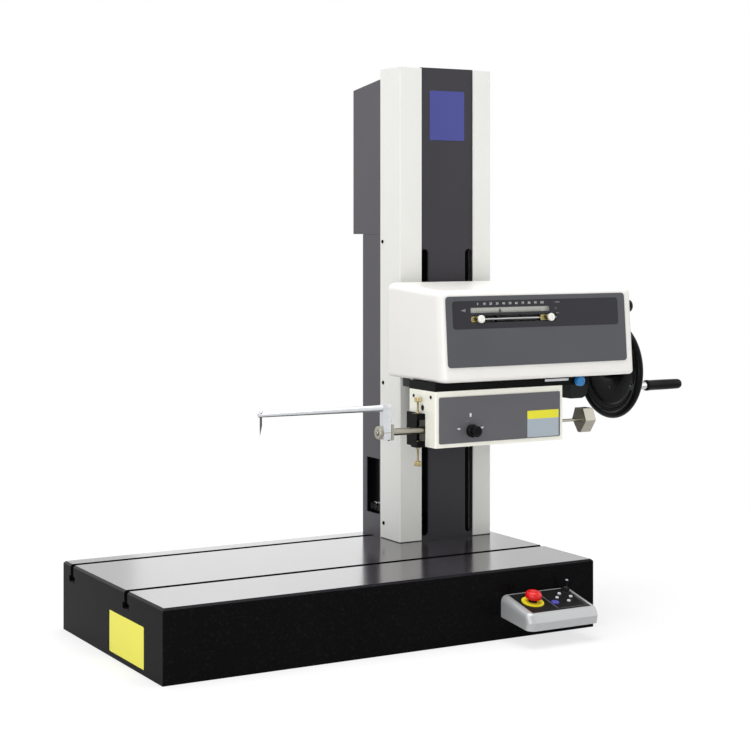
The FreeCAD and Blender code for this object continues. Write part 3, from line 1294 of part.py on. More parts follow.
def control_panel():
    """Black panel in the case's top with the switch holes and the lever's boss."""
    right = BOX_LEFT + BOX_W
    slope_len = BOX_TOP_REACH / cos(BOX_TILT)
    left = BOX_LEFT + BOX_SIDE_RIM
    plate = box(left, right - BOX_SIDE_RIM, -slope_len + BOX_FRONT_RIM, -BOX_RIM, -BOX_PLATE, 0)
    for x, t in BUTTON_PLACES.values():
        plate = plate.cut(rod_z(BUTTON_R + BUTTON_GAP, -BOX_PLATE, 0, x, -t))
    plate = plate.cut(rod_z(START_R + BUTTON_GAP, -BOX_PLATE, 0, START_X, -START_T))
    plate = plate.cut(rod_z(ESTOP_STEM_R + BUTTON_GAP, -BOX_PLATE, 0, ESTOP_X, -ESTOP_T))
    plate = join(plate, rod_z(STICK_BOSS_R, 0, STICK_BOSS_H, STICK_X, -STICK_T))
    socket = Part.makeSphere(STICK_BALL_R + FREE, V(STICK_X, -STICK_T, STICK_BALL_Z))
    return on_box(plate.cut(socket))


def estop_ring():
    """Yellow ring under the stop button."""
    ring = rod_z(ESTOP_RING_R, 0, ESTOP_RING_T, ESTOP_X, -ESTOP_T)
    return on_box(ring.cut(rod_z(ESTOP_STEM_R + BUTTON_GAP, 0, ESTOP_RING_T, ESTOP_X, -ESTOP_T)))


def estop_stem():
    """Black plunger of the stop button with its top pin."""
    stem = rod_z(ESTOP_STEM_R, -ESTOP_DEEP, ESTOP_NECK - FREE, ESTOP_X, -ESTOP_T)
    pin = rod_z(ESTOP_PIN_R, ESTOP_NECK - FREE, ESTOP_NECK + ESTOP_HEAD_H / 2, ESTOP_X, -ESTOP_T)
    return on_box(join(stem, pin))


def estop_head():
    """Red mushroom head that turns on the plunger's pin."""
    r = ESTOP_HEAD_R
    low = ESTOP_NECK
    high = ESTOP_NECK + ESTOP_HEAD_H
    shoulder = low + ESTOP_HEAD_H * 0.3
    side = Part.Arc(V(r - 1.5, 0, low), V(r, 0, shoulder), V(r - 0.8, 0, high - 3)).toShape()
    dome = Part.Arc(V(r - 0.8, 0, high - 3), V(r * 0.65, 0, high - 0.6), V(r / 4, 0, high)).toShape()
    corners = [V(r / 4, 0, high), V(0, 0, high), V(0, 0, low), V(r - 1.5, 0, low)]
    lines = [Part.makeLine(a, b) for a, b in zip(corners, corners[1:])]
    head = Part.Face(Part.Wire([side, dome] + lines)).revolve(V(0, 0, 0), V(0, 0, 1), 360)
    head.translate(V(ESTOP_X, -ESTOP_T, 0))
    bore = rod_z(ESTOP_PIN_R + RUN, low, low + ESTOP_HEAD_H / 2 + FREE, ESTOP_X, -ESTOP_T)
    return on_box(head.cut(bore))


def push_button(x, t, r):
    """Round push button standing out of its hole."""
    cap = rod_z(r, -BUTTON_DEEP, BUTTON_UP, x, -t)
    return on_box(cap.makeFillet(0.5, [e for e in cap.Edges if abs(e.BoundBox.Center.z - BUTTON_UP) < 1e-6]))


def jog_lever():
    """Small lever on a ball with a rounded top."""
    ball = Part.makeSphere(STICK_BALL_R, V(STICK_X, -STICK_T, STICK_BALL_Z))
    top = STICK_BALL_Z + STICK_LEN
    bar = rod_z(STICK_R, STICK_BALL_Z, top, STICK_X, -STICK_T)
    tip = Part.makeSphere(STICK_TOP_R, V(STICK_X, -STICK_T, top))
    return on_box(join(ball, bar, tip))


def all_nodes():
    """Every node's name with its shape."""
    nodes = {
        "base_block": base_block(),
        "column_frame": column_frame(),
        "column_shell_left": column_shell(True),
        "column_shell_right": column_shell(False),
        "column_front_panel": column_front_panel(),
        "column_top_cap": column_top_cap(),
        "rear_cover_lower": rear_cover_lower(),
        "rear_cover_upper": rear_cover_upper(),
        "connector_panel": connector_panel(),
        "z_guide_rails": z_guide_rails(),
        "z_drive_motor": z_drive_motor(),
        "z_screw": z_screw(),
        "motor_pulley": motor_pulley(),
        "drive_belt": drive_belt(),
        "z_saddle": z_saddle(),
        "z_bearing_blocks": z_bearing_blocks(),
        "carriage_plate": carriage_plate(),
        "x_beam": x_beam(),
        "feed_screw_bearings": feed_screw_bearings(),
        "drive_cover": drive_cover(),
        "scale_panel": scale_panel(),
        "scale_strip": scale_strip(),
        "limit_rod": limit_rod(),
        "limit_slider_left": limit_slider(SLIDER_LEFT_X),
        "limit_slider_right": limit_slider(SLIDER_RIGHT_X),
        "side_knob": side_knob(),
        "feed_screw": feed_screw(),
        "handwheel": handwheel(),
        "crank_pin": crank_pin(),
        "crank_grip": crank_grip(),
        "x_slide_table": x_slide_table(),
        "x_bearing_blocks": x_bearing_blocks(),
        "x_slide_band": x_slide_band(),
        "scale_pointer": scale_pointer(),
        "clamp_knob": clamp_knob(),
        "pickup_housing": pickup_housing(),
        "pickup_front_panel": pickup_front_panel(),
        "selector_knob": selector_knob(),
        "pivot_block": pivot_block(),
        "displacement_sensor": displacement_sensor(),
        "limit_bracket": limit_bracket(),
        "stop_screw_upper": stop_screw(True),
        "stop_screw_lower": stop_screw(False),
        "arm_shaft": arm_shaft(),
        "balance_weight": balance_weight(),
        "clamp_block": clamp_block(),
        "thumb_knob": thumb_knob(),
        "stylus_arm": stylus_arm(),
        "stylus": stylus(),
        "control_box_shell": control_box_shell(),
        "control_panel": control_panel(),
        "estop_ring": estop_ring(),
        "estop_stem": estop_stem(),
        "estop_head": estop_head(),
        "button_start": push_button(START_X, START_T, START_R),
        "jog_lever": jog_lever(),
    }
    for name, (x, t) in BUTTON_PLACES.items():
        nodes[name] = push_button(x, t, BUTTON_R)
    return nodes


os.makedirs("parts", exist_ok=True)
for node, shape in all_nodes().items():
    shape.exportStep("parts/" + node + ".step")
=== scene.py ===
import json
from math import atan, cos, hypot, pi, radians, sin

import bpy
from bpy.props import FloatProperty, FloatVectorProperty, PointerProperty
from bpy.types import Operator, Panel, PropertyGroup
from mathutils import Matrix, Vector

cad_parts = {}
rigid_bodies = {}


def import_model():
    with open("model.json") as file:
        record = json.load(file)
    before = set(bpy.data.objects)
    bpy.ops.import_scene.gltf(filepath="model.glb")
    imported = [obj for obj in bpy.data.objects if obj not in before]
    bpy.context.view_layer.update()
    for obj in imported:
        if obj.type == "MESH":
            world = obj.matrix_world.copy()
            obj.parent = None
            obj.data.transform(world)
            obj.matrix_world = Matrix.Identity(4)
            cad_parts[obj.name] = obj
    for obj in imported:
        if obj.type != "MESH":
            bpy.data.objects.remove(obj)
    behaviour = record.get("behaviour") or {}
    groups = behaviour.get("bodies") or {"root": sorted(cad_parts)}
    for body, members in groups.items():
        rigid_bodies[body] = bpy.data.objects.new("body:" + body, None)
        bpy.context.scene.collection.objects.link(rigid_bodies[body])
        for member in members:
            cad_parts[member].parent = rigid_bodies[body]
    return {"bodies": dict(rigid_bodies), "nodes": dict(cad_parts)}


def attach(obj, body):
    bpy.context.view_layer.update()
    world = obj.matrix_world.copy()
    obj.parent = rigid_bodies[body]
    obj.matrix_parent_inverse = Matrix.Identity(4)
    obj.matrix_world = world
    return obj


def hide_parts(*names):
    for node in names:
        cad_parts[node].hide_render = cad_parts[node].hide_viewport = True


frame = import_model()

bl_info = {
    "name": "Contour Measuring Machine",
    "version": (1, 0, 0),
    "blender": (4, 5, 0),
    "location": "View3D > Sidebar > Measuring",
    "description": "Dresses the machine's solids and adds its knobs, screws, scale and plates",
    "category": "Object",
}

# The frame of the solids is in metres, +X right, +Y back, +Z up. Pieces are drawn in millimetres.
MM = 0.001
SMOOTH_ANGLE = radians(32)
TINY = 1e-6

# Slopes of the cover's front and of the control box's top
LEAN = atan(9.0 / 116.0)
BOX_TILT = atan(13.5 / 56.5)

BASE_LEFT = -300
COLUMN_FRONT = 56.9
COLUMN_SIDES = (("left", 139.3), ("right", 286.4))
RANGE_MIDDLE = 395.6    # height of the travel limits' rod
SLOT_ENDS = (155, 280)
SCALE_ZERO = 161
PRINT_OUT = 1.43        # how far the print stands out from the cover
WHEEL = (442, -12, 315.4)
CRANK = (-65.5, 295)
PICKUP_LEFT = 103
PICKUP_FRONT = -92.2
SELECTOR = (155.6, 253)
STOP_AXIS = (96, -60.5)
ARM_AXIS = (-60.5, 253.5)
STYLUS_X = -128
STYLUS_TIP = 260
STOP_BUTTON = (185.5, -27.8)
LEVER = (248.8, -9)


def screen(red, green, blue):
    """A colour as it looks on the screen, 0 to 255, in the linear values that shaders use."""
    linear = []
    for level in (red, green, blue):
        part = level / 255
        linear.append(part / 12.92 if part <= 0.04045 else ((part + 0.055) / 1.055) ** 2.4)
    return tuple(linear)


def colour(name, description, *levels):
    """A colour setting with its screen colour as default."""
    return FloatVectorProperty(
        name=name,
        description=description,
        subtype="COLOR",
        size=3,
        min=0.0,
        max=1.0,
        default=screen(*levels),
    )


def amount(name, description, default, unit="NONE"):
    """A number setting that is never negative."""
    return FloatProperty(name=name, description=description, default=default, min=0.0, unit=unit)


class MachineColours(PropertyGroup):
    """Colours of the machine's finishes."""

    stone: colour("Stone", "Ground of the base block", 12, 12, 13)
    stone_fleck: colour("Stone flecks", "Pale crystals in the stone", 27, 27, 30)
    shell: colour("Shell", "Column shells and cap", 226, 226, 222)
    column_panel: colour("Column panel", "Centre panel of the column", 50, 48, 53)
    rear_cover: colour("Rear covers", "Sheet covers behind the column", 80, 78, 83)
    casting: colour("Castings", "Painted castings inside the covers", 26, 27, 28)
    cover: colour("Drive cover", "Moulded cover of the drive unit", 230, 228, 224)
    front_panel: colour("Front panel", "Grey plate of the drive unit", 76, 77, 82)
    # The pickup's grey plate has the same paint as the drive unit's; its lighter colour is painted light that
    # makes up for the drive cover's shadow over it.
    pickup_panel: colour("Pickup panel", "Grey plate of the pickup", 92, 92, 96)
    inner_band: colour("Inner band", "Dark field round the scale", 42, 41, 46)
    scale: colour("Scale", "Ground of the printed scale", 205, 205, 198)
    print_light: colour("Light print", "Numbers and marks on dark panels", 214, 214, 216)
    print_dim: colour("Dim print", "Fine marks on dark panels", 116, 112, 120)
    print_dark: colour("Dark print", "Lines on pale grounds", 40, 40, 42)
    pickup: colour("Pickup case", "Cream paint of the pickup", 241, 240, 228)
    anodised: colour("Anodised parts", "Black slides and brackets", 9, 9, 10)
    housing: colour("Bearing housing", "Painted housing behind the handwheel", 14, 21, 18)
    phenolic: colour("Handwheel", "Glossy black wheel and grip", 10, 11, 12)
    plastic: colour("Black plastic", "Knobs and switch bodies", 12, 12, 13)
    white_knob: colour("White knobs", "Knobs of the travel limits", 234, 233, 227)
    clamp_blue: colour("Clamp knob", "Blue knob of the slide's clamp", 22, 118, 182)
    brass: colour("Brass", "Limit sliders and the sensor's coil", 166, 154, 104)
    steel: colour("Steel", "Ground and turned steel", 190, 191, 192)
    shaft_steel: colour("Shaft steel", "Brownish steel of the arm's shaft", 162, 159, 148)
    dark_steel: colour("Dark steel", "Stylus, column guides and small screws", 84, 84, 86)
    nickel: colour("Nickel", "Plated screws", 176, 162, 124)
    alloy: colour("Alloy", "Machined and satin alloy", 206, 208, 211)
    rubber: colour("Rubber", "Belt and boots", 30, 30, 31)
    case: colour("Control case", "Silver case of the control box", 171, 172, 173)
    key_white: colour("White keys", "Direction keys", 205, 206, 210)
    key_blue: colour("Blue key", "Start key", 66, 66, 168)
    stop_red: colour("Stop button", "Mushroom head", 208, 20, 18)
    stop_yellow: colour("Stop ring", "Ring under the stop button", 240, 224, 30)
    plate_yellow: colour("Yellow plates", "Plain yellow plates", 228, 222, 40)
    plate_blue: colour("Blue plate", "Plain plate on the column panel", 52, 58, 135)
    plate_grey: colour("Grey plate", "Plain lower plate on the pickup", 162, 173, 182)
    floor: colour("Floor", "Pale studio floor", 236, 236, 236)


class StageSettings(PropertyGroup):
    """Camera, lamps and floor."""

    eye: FloatVectorProperty(
        name="Camera place",
        description="Where the camera stands",
        default=(-1.07045, -1.93882, 0.51477),
        subtype="TRANSLATION",
        unit="LENGTH",
    )
    heading: FloatProperty(
        name="Camera heading",
        description="Turn of the level camera about the upright axis",
        default=radians(-28.934),
        subtype="ANGLE",
    )
    lens: FloatProperty(name="Lens", description="Focal length in millimetres", default=83.01, min=1.0)
    shift_x: FloatProperty(name="Shift X", description="Sideways shift of the view", default=0.06)
    shift_y: FloatProperty(name="Shift Y", description="Upright shift of the view", default=-0.199)
    key_power: amount("Key lamp", "Power in watts", 20.0)
    fill_power: amount("Fill and back lamps", "Power in watts", 9.0)
    top_power: amount("Overhead lamp", "Power in watts", 58.0)
    low_power: amount("Low back lamp", "Power in watts", 1.25)
    front_power: amount("Low front lamp", "Power in watts", 8.0)
    room_level: amount("Room level", "Light from all round", 0.33)
    floor_size: amount("Floor size", "Side of the floor", 24.0, "LENGTH")


def new_group(name, colours, numbers, outputs):
    """A shader group that takes a place, colours and numbers; gives its tree, inputs and output node."""
    tree = bpy.data.node_groups.new(name, "ShaderNodeTree")
    sockets = [("Vector", "INPUT", "Vector")]
    sockets += [(key, "INPUT", "Color") for key in colours]
    sockets += [(key, "INPUT", "Float") for key in numbers]
    sockets += [(key, "OUTPUT", "Color" if key == "Colour" else "Float") for key in outputs]
    for key, side, kind in sockets:
        made = tree.interface.new_socket(key, in_out=side, socket_type="NodeSocket" + kind)
        if side == "INPUT" and kind == "Float":
            made.default_value = numbers[key]
    return tree, tree.nodes.new("NodeGroupInput").outputs, tree.nodes.new("NodeGroupOutput")


def feed(tree, target, inputs):
    """Sets a node's inputs; each takes a value or another node's socket."""
    for key, value in inputs.items():
        if isinstance(value, bpy.types.NodeSocket):
            tree.links.new(value, target.inputs[key])
        else:
            target.inputs[key].default_value = value


def node(tree, kind, inputs=None, **settings):
    """A shader node with its settings and inputs."""
    made = tree.nodes.new("ShaderNode" + kind)
    for key, value in settings.items():
        setattr(made, key, value)
    feed(tree, made, inputs or {})
    return made


def ranged(tree, value, low, high, to_low, to_high):
    """A value moved from one range to another, held at its ends."""
    limits = {"Value": value, "From Min": low, "From Max": high, "To Min": to_low, "To Max": to_high}
    return node(tree, "MapRange", limits).outputs["Result"]


def maths(tree, operation, first, second):
    """The result of one sum on two values."""
    return node(tree, "Math", {0: first, 1: second}, operation=operation).outputs[0]


def plus(tree, first, second):
    """Two values added."""
    return maths(tree, "ADD", first, second)


def times(tree, first, second):
    """Two values multiplied."""
    return maths(tree, "MULTIPLY", first, second)


def swing(tree, value):
    """A value of 0 to 1 moved so that its middle is 0."""
    return maths(tree, "SUBTRACT", value, 0.5)


def noise(tree, vector, scale, detail=2.0):
    """The value of a noise texture."""
    inputs = {"Vector": vector, "Scale": scale, "Detail": detail}
    return node(tree, "TexNoise", inputs).outputs["Fac"]


def stretched(tree, vector, scale):
    """A place scaled along each axis, so that noise draws out into lines."""
    return node(tree, "Mapping", {"Vector": vector, "Scale": scale}).outputs["Vector"]


def shaded(tree, rgb, value):
    """A colour made lighter or darker by a factor."""
    return node(tree, "HueSaturation", {"Color": rgb, "Value": value}).outputs["Color"]


def blended(tree, mask, under, over):
    """One colour over another where the mask says."""
    inputs = {"Factor": mask, "A": under, "B": over}
    return node(tree, "Mix", inputs, data_type="RGBA").outputs["Result"]


SURFACE = ("Colour", "Roughness", "Height")


def build_skin_group():
    """Sprayed or moulded skin: slow colour drift, uneven gloss and a fine raised grain."""
    numbers = {"Drift": 0.05, "Roughness": 0.4, "Unevenness": 0.06, "Grain": 900.0}
    tree, given, result = new_group("Skin", ("Colour",), numbers, SURFACE)
    slow = swing(tree, noise(tree, given["Vector"], 11.0, 4.0))
    fine = noise(tree, given["Vector"], given["Grain"])
    shade = times(tree, slow, given["Drift"])
    grit = times(tree, swing(tree, fine), given["Drift"])
    value = plus(tree, plus(tree, shade, grit), 1.0)
    rough = plus(tree, given["Roughness"], times(tree, slow, given["Unevenness"]))
    feed(tree, result, {"Colour": shaded(tree, given["Colour"], value), "Roughness": rough, "Height": fine})


def build_edge_group():
    """Worn edges: where a rounded normal leaves the true one, broken up by noise."""
    tree, given, result = new_group("Edge Wear", (), {"Width": 0.0006, "Amount": 0.5}, ("Mask",))
    rounded = node(tree, "Bevel", {"Radius": given["Width"]}, samples=4).outputs["Normal"]
    true = node(tree, "NewGeometry").outputs["Normal"]
    facing = node(tree, "VectorMath", {0: rounded, 1: true}, operation="DOT_PRODUCT").outputs["Value"]
    edge = ranged(tree, facing, 0.985, 0.86, 0.0, 1.0)
    patches = ranged(tree, noise(tree, given["Vector"], 160.0, 5.0), 0.42, 0.62, 0.25, 1.0)
    feed(tree, result, {"Mask": times(tree, times(tree, edge, patches), given["Amount"])})


def build_dust_group():
    """Fine dust that settles on faces turned upwards."""
    tree, given, result = new_group("Dust", (), {"Amount": 0.1}, ("Mask", "Upward"))
    normal = node(tree, "SeparateXYZ", {"Vector": node(tree, "NewGeometry").outputs["Normal"]})
    upward = ranged(tree, normal.outputs["Z"], 0.55, 1.0, 0.0, 1.0)
    patches = ranged(tree, noise(tree, given["Vector"], 30.0, 6.0), 0.35, 0.75, 0.7, 1.0)
    mask = times(tree, times(tree, upward, patches), given["Amount"])
    feed(tree, result, {"Mask": mask, "Upward": upward})


def build_stone_group():
    """Fine-grained black stone: dark crystals of two sizes with scattered pale flecks."""
    tree, given, result = new_group("Stone", ("Ground", "Fleck"), {"Roughness": 0.3}, SURFACE)
    where = given["Vector"]
    levels = []
    for scale, channel in ((1150.0, "Red"), (420.0, "Green")):
        cells = node(tree, "TexVoronoi", {"Vector": where, "Scale": scale}).outputs["Color"]
        levels.append(node(tree, "SeparateColor", {"Color": cells}).outputs[channel])
    small, large = levels
    crystals = shaded(tree, given["Ground"], plus(tree, times(tree, small, 0.5), 0.75))
    clouded = shaded(tree, crystals, ranged(tree, noise(tree, where, 6.0, 4.0), 0.3, 0.7, 0.9, 1.12))
    flecks = times(tree, ranged(tree, large, 0.86, 0.97, 0.0, 1.0), 0.5)
    lines = noise(tree, stretched(tree, where, (18, 900, 900)), 1.0, 4.0)
    rough = plus(tree, given["Roughness"], times(tree, swing(tree, lines), 0.12))
    feed(
        tree,
        result,
        {
            "Colour": blended(tree, flecks, clouded, given["Fleck"]),
            "Roughness": plus(tree, rough, times(tree, small, 0.05)),
            "Height": plus(tree, lines, small),
        },
    )


def build_drawn_group():
    """Ground, turned or drawn metal: fine lines along one way in colour, gloss and height."""
    numbers = {"Roughness": 0.3, "Unevenness": 0.15}
    tree, given, result = new_group("Drawn Metal", ("Colour",), numbers, SURFACE)
    lines = noise(tree, given["Vector"], 1.0, 5.0)
    value = plus(tree, times(tree, swing(tree, lines), 0.35), 1.0)
    rough = plus(tree, given["Roughness"], times(tree, swing(tree, lines), given["Unevenness"]))
    feed(tree, result, {"Colour": shaded(tree, given["Colour"], value), "Roughness": rough, "Height": lines})


def emptied(owner):
    """The node tree of a material or world, with nothing in it."""
    owner.use_nodes = True
    owner.node_tree.nodes.clear()
    return owner.node_tree


def start_material(name):
    """A new material with its shader; gives it with its tree, shader and Object coordinates."""
    material = bpy.data.materials.new(name)
    tree = emptied(material)
    shader = node(tree, "BsdfPrincipled")
    node(tree, "OutputMaterial", {"Surface": shader.outputs["BSDF"]})
    return material, tree, shader, node(tree, "TexCoord").outputs["Object"]


def shared(tree, group_name, inputs):
    """The outputs of one of the shared effects placed in a material."""
    return node(tree, "Group", inputs, node_tree=bpy.data.node_groups[group_name]).outputs


def full(rgb):
    """A colour with its alpha."""
    return (*rgb, 1.0)


def covered(tree, effect, where, under, over, **inputs):
    """A colour with worn edges or dust of another colour over it."""
    mask = shared(tree, effect, {"Vector": where, **inputs})["Mask"]
    return blended(tree, mask, under, full(over))


def surfaced(tree, shader, colour_now, effect, depth, height):
    """Gives a shader its colour and an effect's gloss and relief, whose height is in millimetres."""
    inputs = {"Height": effect["Height"], "Strength": depth, "Distance": height * MM}
    normal = node(tree, "Bump", inputs).outputs["Normal"]
    feed(tree, shader, {"Base Color": colour_now, "Roughness": effect["Roughness"], "Normal": normal})


def painted(name, rgb, rough=0.4, grain=900.0, depth=0.05, drift=0.06, wear=0.0, bare=(0.5, 0.5, 0.5),
            dust=0.06, coat=0.0, metallic=0.0, shine=0.5):
    """Paint or moulded plastic with grain, worn edges and a little dust."""
    material, tree, shader, where = start_material(name)
    inputs = {"Vector": where, "Colour": full(rgb), "Drift": drift, "Roughness": rough, "Grain": grain}
    skin = shared(tree, "Skin", inputs)
    colour_now = skin["Colour"]
    if wear:
        colour_now = covered(tree, "Edge Wear", where, colour_now, bare, Amount=wear)
    if dust:
        colour_now = covered(tree, "Dust", where, colour_now, screen(176, 172, 164), Amount=dust)
    surfaced(tree, shader, colour_now, skin, depth, 0.3)
    gloss = {"Coat Weight": coat, "Coat Roughness": 0.08, "Metallic": metallic, "Specular IOR Level": shine}
    feed(tree, shader, gloss)
    return material


# How fine lines run on metal, as the scale of its noise along each axis
ALONG_X = (20, 900, 900)
ALONG_Z = (900, 900, 20)
ROUND = (1300, 1300, 1300)


def metal(name, rgb, rough=0.28, lines=ALONG_X, wear=0.0):
    """Bare metal with fine lines and bright edges."""
    material, tree, shader, where = start_material(name)
    inputs = {"Vector": stretched(tree, where, lines), "Colour": full(rgb), "Roughness": rough}
    drawn = shared(tree, "Drawn Metal", inputs)
    colour_now = drawn["Colour"]
    if wear:
        colour_now = covered(tree, "Edge Wear", where, colour_now, (0.9, 0.9, 0.9), Width=0.0004, Amount=wear)
    surfaced(tree, shader, colour_now, drawn, 0.06, 0.1)
    feed(tree, shader, {"Metallic": 1.0})
    return material


def stone(name, ground):
    """Finely ground black stone with chipped, paler edges; its top shines when seen from low down, and the
    lilac dust on it is partly a painted sheen.
    """
    material, tree, shader, where = start_material(name)
    fleck = full(bpy.context.scene.machine_colours.stone_fleck)
    body = shared(tree, "Stone", {"Vector": where, "Ground": full(ground), "Fleck": fleck, "Roughness": 0.18})
    chipped = covered(tree, "Edge Wear", where, body["Colour"], screen(70, 68, 73), Width=0.0012, Amount=0.35)
    # Lilac dust on faces turned up: real dust in part, and in part a painted sheen that lightens the top.
    dust = shared(tree, "Dust", {"Vector": where, "Amount": 0.15})
    dust_and_sheen_colour = blended(tree, dust["Mask"], chipped, full(screen(146, 139, 150)))
    surfaced(tree, shader, dust_and_sheen_colour, body, 0.04, 0.2)
    facing = ranged(tree, node(tree, "LayerWeight").outputs["Facing"], 0.5, 0.7, 0.0, 1.0)
    gloss = {"Coat Weight": times(tree, facing, dust["Upward"]), "Coat Roughness": 0.16, "Coat IOR": 1.9}
    feed(tree, shader, {**gloss, "Specular IOR Level": 0.02})
    return material


PANEL = dict(rough=0.44, grain=1700, depth=0.18, drift=0.22, shine=0.3)
PRINT = dict(rough=0.5, depth=0.02, dust=0.0)
PLATE = dict(rough=0.34, grain=500, drift=0.05)

# Each finish: its maker, the colour setting, the record's slot and the values that aren't the maker's own
FINISHES = {
    "black_stone": (stone, "stone", "black_stone", {}),
    "white_shell": (painted, "shell", "white_shell", dict(rough=0.42, grain=700, depth=0.08, wear=0.15)),
    "column_panel": (painted, "column_panel", "dark_panel",
                     dict(rough=0.46, grain=1500, depth=0.25, drift=0.3, shine=0.25)),
    "rear_cover": (painted, "rear_cover", "cover_grey",
                   dict(rough=0.5, grain=1500, depth=0.25, drift=0.2, wear=0.2, shine=0.3)),
    "casting": (painted, "casting", "frame_casting",
                dict(rough=0.6, grain=420, depth=0.5, drift=0.2, dust=0.0, shine=0.1)),
    "rail_steel": (metal, "steel", "ground_steel", dict(rough=0.22, lines=ALONG_Z)),
    "rail_dark": (metal, "dark_steel", "ground_steel", dict(rough=0.4, lines=ALONG_Z)),
    "cover_white": (painted, "cover", "cover_white",
                    dict(rough=0.36, grain=520, depth=0.1, drift=0.04, coat=0.15)),
    "panel_grey": (painted, "front_panel", "panel_grey", PANEL),
    # Lighter copy of the grey panel paint: painted light against the drive cover's shadow.
    "pickup_panel": (painted, "pickup_panel", "panel_grey", PANEL),
    "inner_band": (painted, "inner_band", "panel_grey",
                   dict(rough=0.42, grain=1700, depth=0.15, drift=0.2, shine=0.2)),
    "scale_white": (painted, "scale", "scale_white", dict(depth=0.03)),
    "print_light": (painted, "print_light", "panel_grey", PRINT),
    "print_dim": (painted, "print_dim", "panel_grey", PRINT),
    "print_dark": (painted, "print_dark", "scale_white", PRINT),
    "machined_alloy": (metal, "alloy", "alloy", dict(rough=0.34)),
    "black_phenolic": (painted, "phenolic", "black_phenolic",
                       dict(rough=0.24, grain=260, depth=0.04, drift=0.2, dust=0.0, shine=0.08)),
    "black_plastic": (painted, "plastic", "black_plastic",
                      dict(rough=0.36, grain=1300, depth=0.2, drift=0.25, wear=0.1, dust=0.02, shine=0.08)),
    "white_plastic": (painted, "white_knob", "white_plastic", dict(rough=0.3, depth=0.03, coat=0.1)),
    "blue_plastic": (painted, "clamp_blue", "blue_plastic", dict(rough=0.3, coat=0.1)),
    "brass": (metal, "brass", "brass", dict(rough=0.26, wear=0.3)),
    "cream_paint": (painted, "pickup", "cream_paint", dict(rough=0.38, grain=700, depth=0.08, wear=0.12)),
    "black_anodised": (painted, "anodised", "black_anodised",
                       dict(rough=0.32, grain=1200, depth=0.1, drift=0.3, wear=0.2, bare=(0.1, 0.1, 0.1),
                            dust=0.0, shine=0.06)),
    "housing_green": (painted, "housing", "dark_green",
                      dict(rough=0.36, grain=420, depth=0.35, drift=0.2, dust=0.02, shine=0.2)),
    "bright_steel": (metal, "steel", "bright_steel", dict(rough=0.2)),
    "nickel": (metal, "nickel", "nickel", dict(rough=0.3, lines=ALONG_Z)),
    "shaft_steel": (metal, "shaft_steel", "bright_steel", dict(rough=0.3)),
    "weight_steel": (metal, "shaft_steel", "bright_steel", dict(rough=0.34, wear=0.2)),
    "dark_steel": (metal, "dark_steel", "nickel", dict(rough=0.3, lines=ALONG_Z)),
    "nut_nickel": (metal, "shaft_steel", "satin_alloy", dict(rough=0.34, wear=0.2)),
    "satin_alloy": (metal, "alloy", "satin_alloy", dict(rough=0.38)),
    "rubber": (painted, "rubber", "rubber", dict(rough=0.7, grain=1500, depth=0.2, drift=0.3)),
    "case_silver": (painted, "case", "case_silver",
                    dict(rough=0.36, grain=1500, depth=0.12, drift=0.08, metallic=0.35, wear=0.15)),
    "stop_red": (painted, "stop_red", "estop_red",
                 dict(rough=0.26, grain=600, depth=0.04, coat=0.1, dust=0.0, shine=0.3)),
    "stop_yellow": (painted, "stop_yellow", "estop_yellow", dict(rough=0.36, depth=0.04)),
    "key_white": (painted, "key_white", "key_white", dict(rough=0.34, depth=0.04)),
    "key_blue": (painted, "key_blue", "key_blue", dict(rough=0.32, depth=0.04, coat=0.1)),
    "motor_black": (painted, "plastic", "motor_black", dict(rough=0.45, depth=0.2)),
    "plate_yellow": (painted, "plate_yellow", "black_stone", PLATE),
    "plate_yellow_small": (painted, "plate_yellow", "panel_grey", PLATE),
    "plate_blue": (painted, "plate_blue", "dark_panel", {**PLATE, "rough": 0.3}),
    "plate_grey": (painted, "plate_grey", "panel_grey", {**PLATE, "rough": 0.36}),
    "black_screw": (metal, "plastic", "black_anodised", dict(rough=0.32, lines=ROUND)),
}


def finish(name):
    """The material of a finish, made the first time it is asked for."""
    own_name = "finish_" + name
    ready = bpy.data.materials.get(own_name)
    if ready:
        return ready
    maker, colour_name, _, values = FINISHES[name]
    return maker(own_name, tuple(getattr(bpy.context.scene.machine_colours, colour_name)), **values)


def dress(finish_name, *nodes):
    """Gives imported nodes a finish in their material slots."""
    for name in nodes:
        for slot in frame["nodes"][name].material_slots:
            slot.material = finish(finish_name)


def pick(piece):
    """Leaves one piece selected, in object mode."""
    if bpy.context.mode != "OBJECT":
        bpy.ops.object.mode_set(mode="OBJECT")
    bpy.ops.object.select_all(action="DESELECT")
    piece.select_set(True)
    bpy.context.view_layer.objects.active = piece


def named(name):
    """The active piece, under a name that its mesh shares."""
    piece = bpy.context.object
    piece.name = name
    piece.data.name = name
    return piece


def started(primitive, name, **settings):
    """A new primitive under its name, with nothing else selected."""
    bpy.ops.object.select_all(action="DESELECT")
    primitive(**settings)
    return named(name)


def mark(piece, kind, test):
    """Goes into edit mode with the vertices, edges or faces selected that pass a test."""
    pick(piece)
    bpy.ops.object.mode_set(mode="EDIT")
    bpy.ops.mesh.select_mode(type=kind)
    bpy.ops.mesh.select_all(action="DESELECT")
    bpy.ops.object.mode_set(mode="OBJECT")
    mesh = piece.data
    for part in {"VERT": mesh.vertices, "EDGE": mesh.edges, "FACE": mesh.polygons}[kind]:
        part.select = test(part)
    bpy.ops.object.mode_set(mode="EDIT")


def closed(piece):
    """Merges doubles and turns all faces outwards."""
    pick(piece)
    bpy.ops.object.mode_set(mode="EDIT")
    bpy.ops.mesh.select_all(action="SELECT")
    bpy.ops.mesh.remove_doubles(threshold=TINY)
    bpy.ops.mesh.normals_make_consistent(inside=False)
    bpy.ops.object.mode_set(mode="OBJECT")
    return piece


